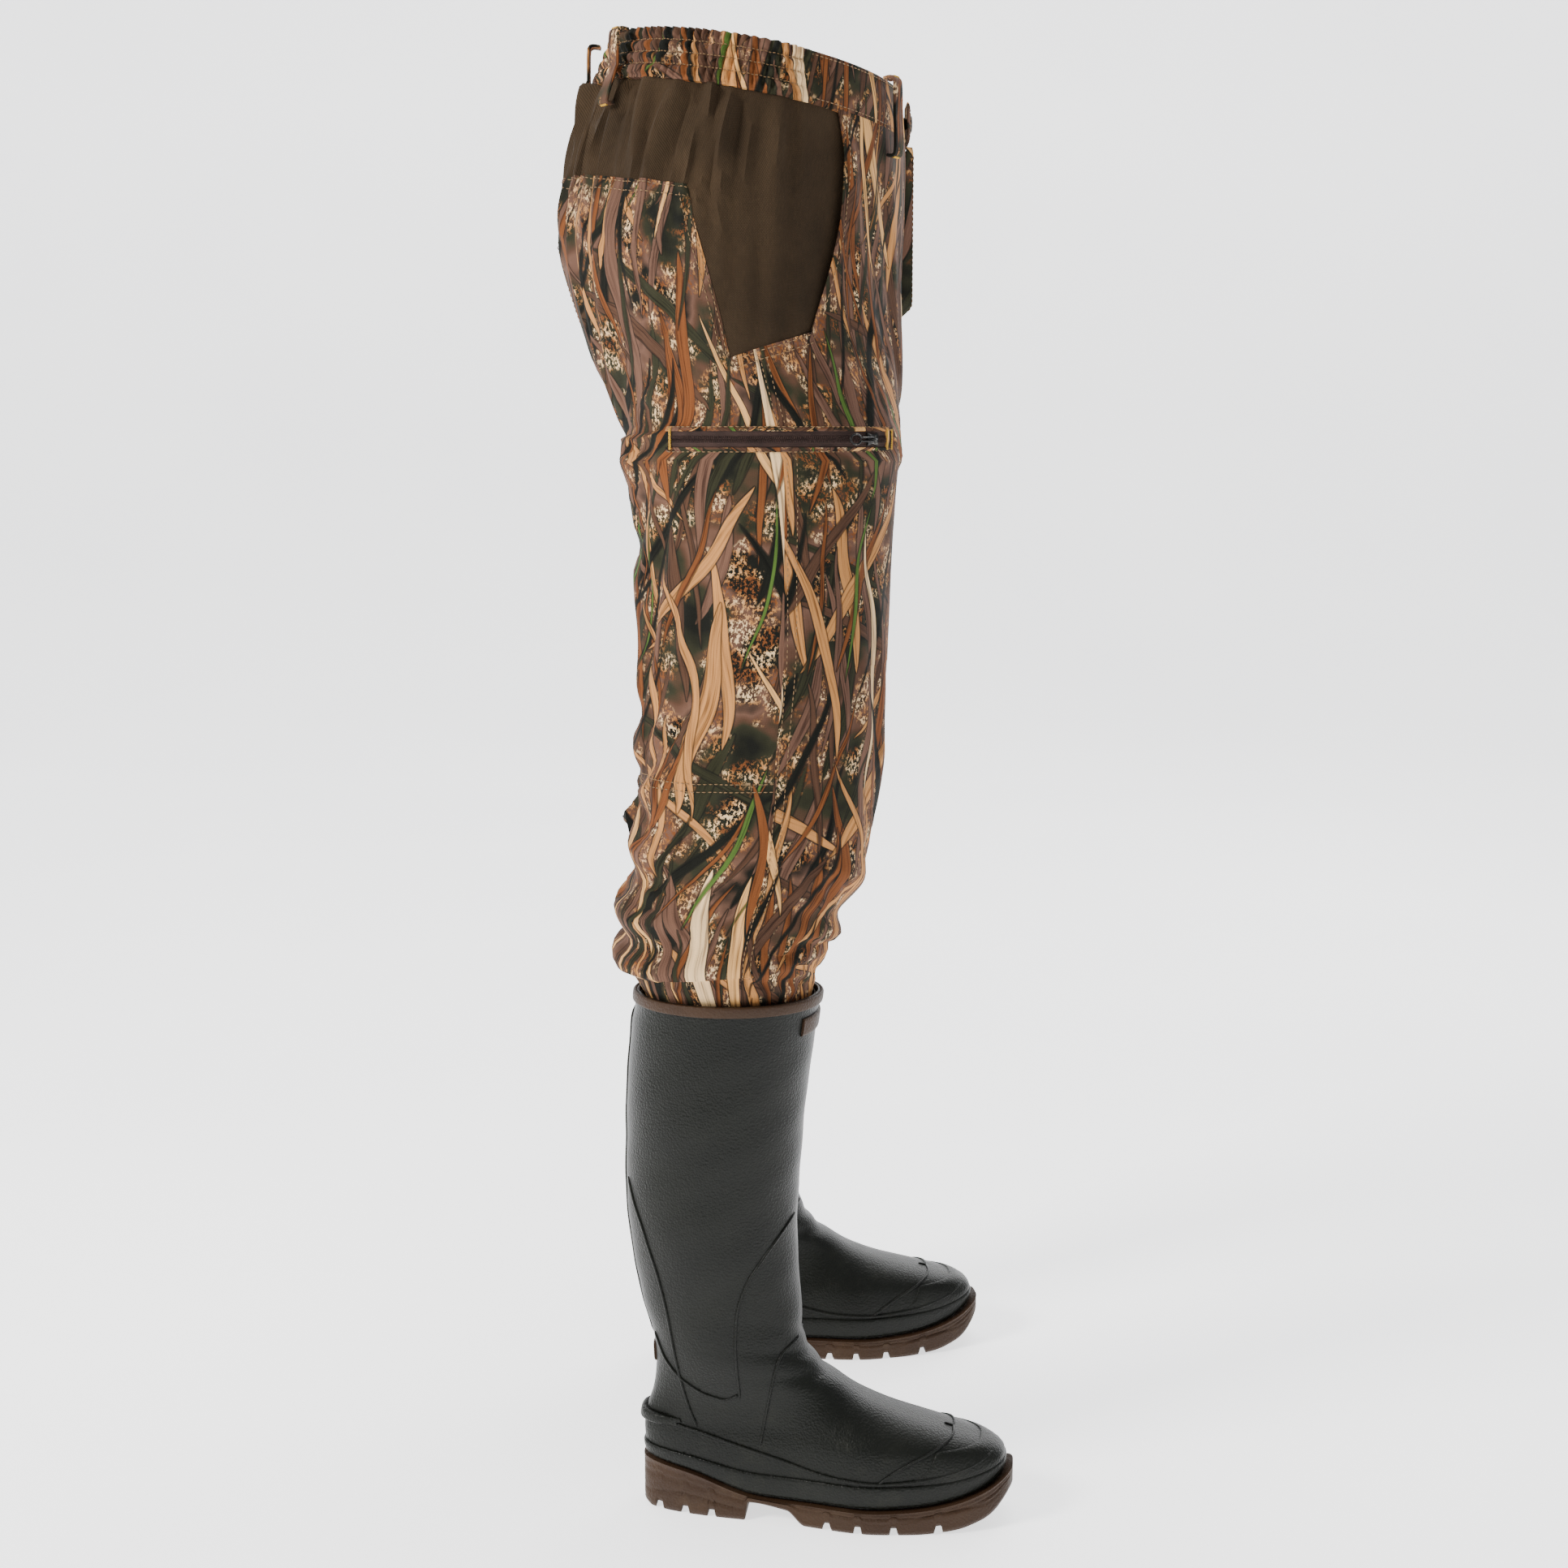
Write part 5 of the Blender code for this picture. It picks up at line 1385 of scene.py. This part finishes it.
def make_loops():
    tacks = Batch()
    for name, turn in LOOP_PLACES.items():
        middle = trunk_at(turn, 1.178)
        ahead = trunk_at(turn - 0.01, 1.178) - trunk_at(turn + 0.01, 1.178)
        ahead[2] = 0
        tangent = unit(ahead)
        outward = np.cross(tangent, (0, 0, 1))
        if np.dot(outward, middle - (TILT_PIVOT_X, 0, middle[2])) < 0:
            outward = -outward
        line = softened(spread(LOOP_PATH, 49), 5)
        base = np.stack([trunk_at(turn, level) for level in line[:, 1]])
        reach = np.maximum((base - middle) @ outward, 0.0)
        climb = np.array((0, 0, 1.0)) * (base[:, 2:] - middle[2])
        track = middle + outward * (line[:, :1] + reach[:, None]) + climb
        ahead_line = unit(np.gradient(track, axis=0))
        out = np.cross(ahead_line, tangent)
        out = out * np.sign(np.sum(out[len(out) // 2] * outward))
        rings = np.stack([track + tangent * s * LOOP_HALF + out * t * LOOP_THICK for s, t in LOOP_SECTION], 1)
        across = np.array([s * LOOP_HALF for s, _ in LOOP_SECTION])
        coords = np.stack(np.broadcast_arrays(
            across[None] + 2.3 + turn, lengths_along(track)[:, None] + 0.4, np.zeros(rings.shape[:2])), -1)
        faces = swept_faces(*rings.shape[:2])
        loop = make_piece(f"loop_{name}", rings.reshape(-1, 3), faces, CAMO, coords.reshape(-1, 3))
        attach(loop, "trousers", f"belt_loop_{name}")
        for number in (9, 41):
            centre = track[number] + out[number] * LOOP_THICK * 0.5
            bar_tack(tacks, centre, tangent, out[number], 0.0100, 0.0026, 15)
    tacks.build("loop_tacks", YELLOW, "trousers")


FLY_X = 0.1042


def slab(name, rows, columns, place, thickness, material, coords):
    """A thin padded slab over a grid: place(u, v) gives its face, and it bulges off by thickness."""
    u, v = np.meshgrid(np.linspace(0, 1, columns), np.linspace(0, 1, rows))
    edge = np.minimum.reduce([u, 1 - u]) * columns
    rim = np.minimum.reduce([v, 1 - v]) * rows
    round_off = np.minimum(1.0, np.minimum(edge, rim) / 2.0)
    face = place(u, v, thickness * (0.35 + 0.65 * np.sqrt(round_off)))
    back = place(u, v, np.zeros_like(u))
    index = np.arange(rows * columns).reshape(rows, columns)
    faces = shell_faces(grid_faces(index, False), rows * columns)
    at = coords(u, v)
    points = np.concatenate([face.reshape(-1, 3), back.reshape(-1, 3)])
    return make_piece(name, points, faces, material, np.concatenate([at.reshape(-1, 3)] * 2))


def make_tab():
    tab_low, tab_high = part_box("waist_tab")
    near, far = tab_low.y, tab_high.y

    def tab_place(u, v, off):
        y = near + (far - near) * u
        half = (tab_high.z - tab_low.z) / 2
        corner = ease(u, 0.0, 0.16)
        z = (tab_low.z + tab_high.z) / 2 + (v - 0.5) * 2 * half * (0.62 + 0.38 * corner)
        return np.stack(np.broadcast_arrays(tab_low.x + off, y, z), -1)

    tab = slab("waist_tab_look", 20, 30, tab_place, 0.0026, CAMO,
               lambda u, v: np.stack([u * 0.054 + 1.32, v * 0.035 + 0.77, u * 0], -1))
    attach(tab, "waist_tab", "waist_tab")
    stitches = Batch()
    u, v = spread(((0.93, 0.14), (0.12, 0.20), (0.06, 0.5), (0.12, 0.80), (0.93, 0.86)), 160).T
    rows_on_band(stitches, tab_place(u, v, 0.0028), 0.0040, 0.0028)
    stitches.build("waist_tab_stitches", BROWN_THREAD, "waist_tab")


# The snap cap's outline, as shares of its height and its radius.
CAP_OUTLINE = ((0.0, 1.0), (0.35, 1.0), (0.62, 0.96), (0.80, 0.84), (0.78, 0.70), (0.60, 0.62), (0.62, 0.50),
               (0.86, 0.30), (0.92, 0.05))


def make_snap():
    cap_low, cap_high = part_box("snap_cap")
    centre = (cap_low + cap_high) / 2
    radius = (cap_high.y - cap_low.y) / 2
    turns = np.linspace(0, 2 * math.pi, 49)[:-1]
    points = []
    for out, share in CAP_OUTLINE:
        points.append(np.stack(np.broadcast_arrays(
            cap_low.x + out * (cap_high.x - cap_low.x), centre.y + radius * share * np.cos(turns),
            centre.z + radius * share * np.sin(turns)), -1))
    faces = swept_faces(len(points), len(turns))
    cap = make_piece("snap_cap_look", np.concatenate(points), faces, SNAP_METAL)
    attach(cap, "waist_tab", "snap_cap")


def cloth_front(y, z):
    """How far forward the trousers reach beside the fly."""
    return 0.0988 + 0.0048 * ease(z, 0.995, 1.120) - 1.8 * y * y


def make_flap():
    """The fly's flap: its edges lie on the cloth and its middle stands over the zip."""
    flap_low, flap_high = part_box("fly_flap")

    def flap_place(u, v, off):
        z = flap_low.z + (flap_high.z - flap_low.z) * v
        free = -0.0120 + 0.0120 * (1 - ease(v, 0.0, 0.16)) ** 2
        y = free + (0.0226 - free) * u
        raised = ease(u, -0.02, 0.16) * (1 - ease(u, 0.66, 0.98)) * ease(v, -0.03, 0.08)
        low = cloth_front(y, z) + 0.0002
        x = low + (FLY_X + 0.0048 - low) * raised + off
        return np.stack(np.broadcast_arrays(x, y, z), -1)

    flap = slab("fly_flap_look", 60, 22, flap_place, 0.0016, CAMO,
                lambda u, v: np.stack([u * 0.035 + 0.77, v * 0.142 + 1.6, u * 0], -1))
    attach(flap, "trousers", "fly_flap")
    stitches = Batch()
    for inset in (0.14, 0.30):
        v = np.linspace(0.04, 0.99, 300)
        rows_on_band(stitches, flap_place(np.full_like(v, inset), v, 0.0018))
    v = np.linspace(0.02, 0.99, 300)
    rows_on_band(stitches, flap_place(np.full_like(v, 0.90), v, 0.0018))
    stitches.build("fly_stitches", BROWN_THREAD, "trousers")


def make_fly_zip():
    tape_low, tape_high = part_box("fly_zip_tape")

    def tape_place(u, v, off):
        y, z = 0.0078 * (2 * u - 1), tape_low.z + (tape_high.z - tape_low.z) * v
        return np.stack([cloth_front(y, z) + 0.0004 + off, y, z], -1)

    tape = slab("fly_tape_look", 60, 14, tape_place, 0.0010, TAPE,
                lambda u, v: np.stack([v * 0.13, u * 0.022, u * 0], -1))
    attach(tape, "trousers", "fly_zip_tape")
    coil = Batch()
    coil_turns = 70
    for half in (-1, 1):
        t = np.linspace(0, coil_turns, coil_turns * 8)
        z = tape_low.z + 0.002 + t / coil_turns * (tape_high.z - tape_low.z - 0.016)
        swing = 2 * math.pi * t + (math.pi if half > 0 else 0)
        across = half * (0.0012 + 0.0010 * np.cos(swing))
        coil.add(*tube(np.stack([cloth_front(across, z) + 0.0017 + 0.0003 * np.sin(swing), across, z], -1),
                       0.0003, 5))
    coil.build("fly_coil", TAPE, "trousers")
    for node in ("fly_slider", "fly_puller", "snap_stud"):
        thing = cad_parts[node]
        thing.data.materials.clear()
        thing.data.materials.append(SNAP_METAL if node == "snap_stud" else BLACK_METAL)


# ---------------------------------------------------------------- boots

def toe_turn(x, y):
    cos, sin = math.cos(TOE_OUT), math.sin(TOE_OUT)
    away = x - ANKLE_X
    return ANKLE_X + away * cos - y * sin, away * sin + y * cos


def foot_taper(x, level):
    return 1 - FOOT_NARROWING * (1 - ease(x, -0.01, 0.085)) * (1 - ease(level, 0.08, 0.15))


def boot_shape(angle, level):
    """Left boot's outside; angle runs round from the toe by the outer side."""
    front, back, half_width = boot_section(level)
    fullness = FOOT_FULLNESS + (1 - FOOT_FULLNESS) * ease(level, 0.09, 0.16)
    x = (front + back) / 2 + (front - back) / 2 * np.cos(angle)
    sine = np.sin(angle)
    y = half_width * np.sign(sine) * np.abs(sine) ** fullness * foot_taper(x, level)
    base = sole_profile(x)[1] + SOLE_SEAT
    share = (level - BOOT_BASE_LEVEL) / (BOOT_FLAT_LEVEL - BOOT_BASE_LEVEL)
    z = np.where(level >= BOOT_FLAT_LEVEL, level, base + share * (BOOT_FLAT_LEVEL - base))
    x, y = toe_turn(x, y)
    centre_y = BOOT_Y + (SHAFT_TOP_Y - BOOT_Y) * ease(level, 0.12, BOOT_RIM)
    return np.stack([x, centre_y + y, z], -1)


def boot_folds(angle, level):
    """Soft unevenness of the moulded rubber: creases at the ankle and the throat of the foot."""
    front = 0.5 + 0.5 * np.cos(angle)
    behind = 1 - front
    shaft = ease(level, 0.12, 0.2) * (1 - ease(level, 0.36, 0.42))
    found = 0.0004 * np.sin(level * 60 + 2 * np.cos(angle)) * shaft
    for height, lift, depth in ((0.126, 0.0, -0.0022), (0.140, 0.010, -0.0020), (0.158, 0.018, -0.0014)):
        line = height + lift * np.abs(np.sin(angle))
        found = found + depth * front**3 * np.exp(-(((level - line) / 0.0055) ** 2))
    found = found + 0.0016 * behind**10 * ease(level, 0.16, 0.19) * (1 - ease(level, 0.42, 0.435))
    shaft = ease(level, 0.1, 0.2) * (1 - ease(level, 0.40, 0.43))
    return found + 0.0002 * np.sin(level * 143 + 5 * angle) * shaft


def boot_at(side, angle, level, off=0.0):
    angle, level = np.broadcast_arrays(np.asarray(angle, float), np.asarray(level, float))
    points = boot_shape(angle, level)
    out = normals_of(boot_shape, angle, level, 4e-3, 4e-4)
    points = points + out * (np.asarray(off) + boot_folds(angle, level))[..., None]
    return points * (1, side, 1)


def boot_rings(name, side, rows, material, angles=None, taper=None):
    """A ring, or a plate between two angles, swept through rows of (level, offset)."""
    whole = angles is None
    turns = np.linspace(0, 2 * math.pi, 145)[:-1] if whole else np.linspace(*angles, 61)
    level = np.array([row[0] for row in rows])[:, None] + 0 * turns[None]
    off = np.array([row[1] for row in rows])[:, None] + 0 * turns[None]
    if taper is not None:
        level, off = taper(turns[None], level, off)
    points = boot_at(side, turns[None] + 0 * level, level, off)
    index = np.arange(level.size).reshape(level.shape)
    if whole:
        index = np.concatenate([index, index[:, :1]], axis=1)
    wrapped = np.concatenate([index, index[:1]])
    faces = grid_faces(wrapped, False).tolist()
    if not whole:
        faces += [index[:, 0].tolist(), index[:, -1][::-1].tolist()]
    coords = np.stack([turns[None] * 0.06 + 0 * level, level, 0 * level], -1)
    return make_piece(name, points.reshape(-1, 3), faces, material, coords.reshape(-1, 3))


def make_upper(side, word):
    rows = [(level, 0.0) for level in np.linspace(BOOT_BASE_LEVEL, 0.16, 54)]
    rows += [(level, 0.0) for level in np.linspace(0.164, BOOT_RIM - 0.002, 60)]
    rows += [(BOOT_RIM, -0.0006), (BOOT_RIM, -0.0024), (BOOT_RIM - 0.002, -0.0032)]
    rows += [(level, -0.0034) for level in np.linspace(BOOT_RIM - 0.006, 0.046, 30)]
    upper = boot_rings(f"boot_{word}", side, rows, RUBBER)
    attach(upper, f"shin_{word}", f"boot_upper_{word}")
    rows = [(level, -0.0040) for level in np.linspace(0.145, 0.446, 30)]
    rows += [(level, -0.0052) for level in np.linspace(0.446, 0.145, 30)]
    lining = boot_rings(f"boot_lining_look_{word}", side, rows, LINING)
    attach(lining, f"shin_{word}", f"boot_lining_{word}")
    rows = [(0.041, -0.0066), (0.047, -0.0066), (0.0475, -0.0072), (0.0470, -0.0200), (0.0405, -0.0200)]
    insole = boot_rings(f"insole_look_{word}", side, rows, FOAM)
    attach(insole, f"shin_{word}", f"insole_{word}")


def rounded(low, high, proud, steps):
    """Rows of a raised band of rounded section, let a little way into the boot."""
    sunk = 0.0004
    middle, half = (low + high) / 2, (high - low) / 2
    edge = []
    for a in np.linspace(0, math.pi, steps):
        reach = math.copysign(abs(math.cos(a)) ** 0.5, math.cos(a))
        edge.append((middle - half * reach, proud * math.sin(a) ** 0.5))
    return edge + [(high - sunk, -sunk), (low + sunk, -sunk)]


def locate(x, z):
    """The (angle, level) on the boot's outer side whose point is at local x and z."""
    level = z
    for _ in range(8):
        front, back, _ = boot_section(level)
        cosine = np.clip((x - (front + back) / 2) / ((front - back) / 2), -1, 1)
        if z < BOOT_FLAT_LEVEL:
            base = float(sole_profile(x)[1]) + SOLE_SEAT
            share = (z - base) / (BOOT_FLAT_LEVEL - base)
            level = BOOT_BASE_LEVEL + np.clip(share, 0, 1) * (BOOT_FLAT_LEVEL - BOOT_BASE_LEVEL)
    return float(np.arccos(cosine)), float(level)


# Moulded lines on the side of the boot, as local (x, z), and their half thickness.
MOULDED_LINES = (
    (((0.0105, 0.262), (-0.0107, 0.2348), (-0.0254, 0.2138), (-0.0342, 0.1893), (-0.0363, 0.1575),
      (-0.0331, 0.1079)), 0.0012),
    (((-0.128, 0.290), (-0.1108, 0.2418), (-0.0965, 0.1928), (-0.0862, 0.1292), (-0.0784, 0.0972),
      (-0.0704, 0.0785)), 0.0012),
    (((-0.1075, 0.1561), (-0.0983, 0.1363), (-0.0849, 0.1221), (-0.0648, 0.110), (-0.0446, 0.1050),
      (-0.0344, 0.1114)), 0.0012),
    (((0.0150, 0.156), (0.004, 0.149), (-0.002, 0.1398), (-0.0095, 0.1043), (-0.0163, 0.067)), 0.0011),
    (((0.0841, 0.0450), (0.0963, 0.0540), (0.1111, 0.0625), (0.135, 0.0725), (0.1515, 0.0790)), 0.0012),
)
# The line above the rand, from the heel to the toe.
FOXING = ((-0.1123, 0.0815), (-0.0704, 0.0757), (-0.0176, 0.0614), (0.0366, 0.0470), (0.0841, 0.0440),
          (0.1248, 0.0475), (0.1586, 0.0560), (0.1780, 0.0640))


def side_track(line, count, side, hand, off):
    """A line of local (x, z) laid on the outer (hand 1) or inner (hand -1) side of a boot."""
    spots = np.array([locate(x, z) for x, z in softened(spread(line, count), count // 5)])
    return boot_at(side, hand * spots[:, 0], spots[:, 1], off)


def make_mouldings(side, word):
    beads = Batch()
    for hand in (1, -1):
        for line, radius in MOULDED_LINES:
            beads.add(*tube(side_track(line, 60, side, hand, 0.0002), radius, 8))
        beads.add(*tube(side_track(FOXING, 90, side, hand, 0.0004), 0.0015, 8))
    beads.build(f"boot_beads_{word}", RUBBER, f"shin_{word}")

    def around_toe(turns, level, off):
        fade = ease(np.abs(turns), 0.70, 1.05)
        lowest = level.min()
        return lowest + (level - lowest) * (1 - 0.78 * fade), np.maximum(off * (1 - 0.9 * fade), -0.0005)

    cap = boot_rings(f"toe_cap_look_{word}", side, rounded(0.0455, 0.0700, 0.0016, 17), RUBBER,
                     (-1.05, 1.05), around_toe)
    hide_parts(f"toe_cap_{word}")
    rand = boot_rings(f"rand_look_{word}", side, rounded(0.0312, 0.0470, 0.0022, 11), RUBBER)
    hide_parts(f"rand_{word}")

    def narrowing(turns, level, off):
        fade = ease(np.abs(turns - math.pi), 0.45, 0.85)
        return 0.0825 + (level - 0.0825) * (1 - 0.75 * fade), off * (1 - 0.92 * fade)

    spur = boot_rings(f"heel_spur_look_{word}", side, rounded(0.0765, 0.0860, 0.0050, 11), RUBBER,
                      (math.pi - 0.75, math.pi + 0.75), narrowing)
    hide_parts(f"heel_spur_{word}")
    tab = boot_rings(f"heel_tab_{word}", side, rounded(0.1275, 0.1440, 0.0022, 11), BROWN_RUBBER,
                     (math.pi - 0.16, math.pi + 0.16))
    binding = boot_rings(f"binding_{word}", side, rounded(0.4400, 0.4492, 0.0028, 13), BROWN_RUBBER)
    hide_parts(f"boot_binding_{word}")

    def slanted(turns, level, off):
        return level - 0.0015 * (turns - 0.1) / 0.6, off

    badge = boot_rings(f"badge_{word}", side, rounded(0.4185, 0.4335, 0.0022, 15), BROWN_RUBBER,
                       (-0.42, 0.50), slanted)
    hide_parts(f"boot_badge_{word}")
    back_line = Batch()
    levels = np.linspace(0.150, 0.432, 60)
    back_line.add(*tube(boot_at(side, np.full(60, math.pi), levels, 0.0004), 0.0016, 8))
    ridge_piece = back_line.build(f"back_ridge_{word}", RUBBER)
    for piece in (cap, rand, spur, tab, binding, badge, ridge_piece):
        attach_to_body(piece, f"shin_{word}")


def groove_depth(x):
    """How far the tread's grooves and the arch cut up into the sole at a local x."""
    found = np.zeros_like(x)
    for centre in HEEL_GROOVES + FOREFOOT_GROOVES:
        wall = 1 - ease(np.abs(x - centre), 0.0022, 0.0036)
        found = np.maximum(found, 0.0062 * wall)
    arch = ease(x, ARCH[0] - 0.0015, ARCH[0] + 0.0015) * (1 - ease(x, ARCH[1] - 0.010, ARCH[1] + 0.006))
    return np.maximum(found, arch * (ARCH[2] - 0.0050 * ease(x, ARCH[0] + 0.004, ARCH[1])))


def make_outsole(side, word):
    """The sole as stations along the foot: a grooved underside, a side wall with recessed lines, a top."""
    first, last = SOLE_PROFILE[0][0] - 0.0006, SOLE_PROFILE[-1][0] + 0.0004
    turn = np.linspace(0.03, math.pi - 0.03, 420)
    x = (first + last) / 2 - (last - first) / 2 * np.cos(turn)
    half = (boot_section(np.full_like(x, BOOT_BASE_LEVEL))[2] + SOLE_LIP) * np.sin(turn) ** FOOT_FULLNESS
    half = half * foot_taper(x, BOOT_BASE_LEVEL)
    bottom, top = sole_profile(x)
    bottom = np.maximum(bottom, 0.0)
    cut = groove_depth(x)
    under = np.linspace(-1, 1, 15)
    wall = np.linspace(0, 1, 22)
    rows = []
    roof = bottom + cut
    for share in under:
        inset = np.where(abs(share) > 0.99, 0.0022, 0.0)
        rows.append(np.stack([x, share * (half - inset), roof], -1))
    floor = np.minimum(roof + 0.0016, top - 0.002)

    def flank(hand):
        found = []
        for share in wall:
            z = floor + (top - 0.0004 - floor) * share
            line = 0.0011 * math.exp(-(((share - 0.70) / 0.045) ** 2))
            line += 0.0007 * math.exp(-(((share - 0.88) / 0.03) ** 2))
            above = (z - bottom) - 0.014 - 0.004 * np.sin(x * 55)
            curl = 0.0012 * np.exp(-((above / 0.0011) ** 2)) * ease(top - bottom, 0.016, 0.03)
            lip = 0.0014 * ease(share, 0.90, 0.99) - 0.0010 * (1 - ease(share, 0.0, 0.08))
            found.append(np.stack([x, hand * (half - line - curl + lip), z], -1))
        return found

    rows += flank(1)
    for share in (0.9, 0.4, 0.0, -0.4, -0.9):
        rows.append(np.stack([x, share * half, top - 0.0002], -1))
    rows += flank(-1)[::-1]
    ring = np.stack(rows, 1)
    turned_x, turned_y = toe_turn(ring[..., 0], ring[..., 1])
    points = np.stack([turned_x, side * (BOOT_Y + turned_y), ring[..., 2]], -1)
    faces = swept_faces(*points.shape[:2])
    sole = make_piece(f"outsole_look_{word}", points.reshape(-1, 3), faces, BROWN_RUBBER)
    attach(sole, f"shin_{word}", f"outsole_{word}")


# ---------------------------------------------------------------- stage

def make_stage():
    shade = Shade("pale_floor")
    cloudy = shade.noise(shade.local(), 1.3, 2.0)
    tint = shade.ramp(cloudy, ((0.2, tone(240, 240, 241)), (0.8, tone(246, 246, 246))))
    pale = shade.finish(Base_Color=tint, Roughness=0.85, Emission_Color=tint, Emission_Strength=1.6)
    turn = np.linspace(0, math.pi / 2, 16)
    profile = [(-9.0, 0.0), (4.0, 0.0)]
    profile += [(4.0 + 2.0 * math.sin(a), 2.0 - 2.0 * math.cos(a)) for a in turn[1:]]
    profile.append((6.0, 9.0))
    points = [(x, y, z) for y, z in profile for x in (-9.0, 9.0)]
    faces = [(2 * i, 2 * i + 1, 2 * i + 3, 2 * i + 2) for i in range(len(profile) - 1)]
    floor = plain_mesh("floor", points, faces)
    floor.data.materials.append(pale)
    floor.data.shade_smooth()

    world = bpy.data.worlds.new("studio")
    world.use_nodes = True
    sky = world.node_tree.nodes["Background"]
    sky.inputs[0].default_value = (0.92, 0.95, 1.0, 1.0)
    sky.inputs[1].default_value = 0.55
    bpy.context.scene.world = world
    # Name, place, size, power, colour.
    lamps = (
        ("key", (-2.7, -1.7, 2.6), 0.9, 170.0, (1.0, 0.97, 0.93)),
        ("fill", (2.6, -2.2, 1.4), 2.4, 10.0, (0.94, 0.97, 1.0)),
        ("top", (0.2, 0.4, 3.6), 2.0, 60.0, (1.0, 1.0, 1.0)),
        ("rim", (1.6, 2.6, 2.4), 1.8, 40.0, (1.0, 1.0, 1.0)),
    )
    aim = np.array((0.0, 0.0, 0.6))
    for name, place, size, power, colour in lamps:
        light = bpy.data.lights.new(name, "AREA")
        light.size, light.energy, light.color = size, power, colour
        lamp = bpy.data.objects.new(name, light)
        lamp.location = place
        from_aim = Vector(np.array(place) - aim)
        lamp.rotation_euler = from_aim.to_track_quat("Z", "Y").to_euler()
        bpy.context.scene.collection.objects.link(lamp)


CAMERA_PLACE, CAMERA_PITCH, CAMERA_LENS = (0.0, -2.0, 0.902), 8.68, 52.03


def make_camera():
    lens = bpy.data.cameras.new("camera")
    lens.lens, lens.sensor_width = CAMERA_LENS, 36.0
    eye = bpy.data.objects.new("camera", lens)
    eye.location = CAMERA_PLACE
    eye.rotation_euler = (math.radians(90 - CAMERA_PITCH), 0, 0)
    bpy.context.scene.collection.objects.link(eye)
    bpy.context.scene.camera = eye


for half_side, half_word in SIDES:
    make_panels(half_side, half_word)
    make_stitching(half_side, half_word)
    make_zip(half_side, half_word)
    make_zip_slider(half_side, half_word)
    make_zip_puller(half_side, half_word)
    make_upper(half_side, half_word)
    make_mouldings(half_side, half_word)
    make_outsole(half_side, half_word)
make_waist()
make_loops()
make_tab()
make_snap()
make_flap()
make_fly_zip()
make_stage()
make_camera()
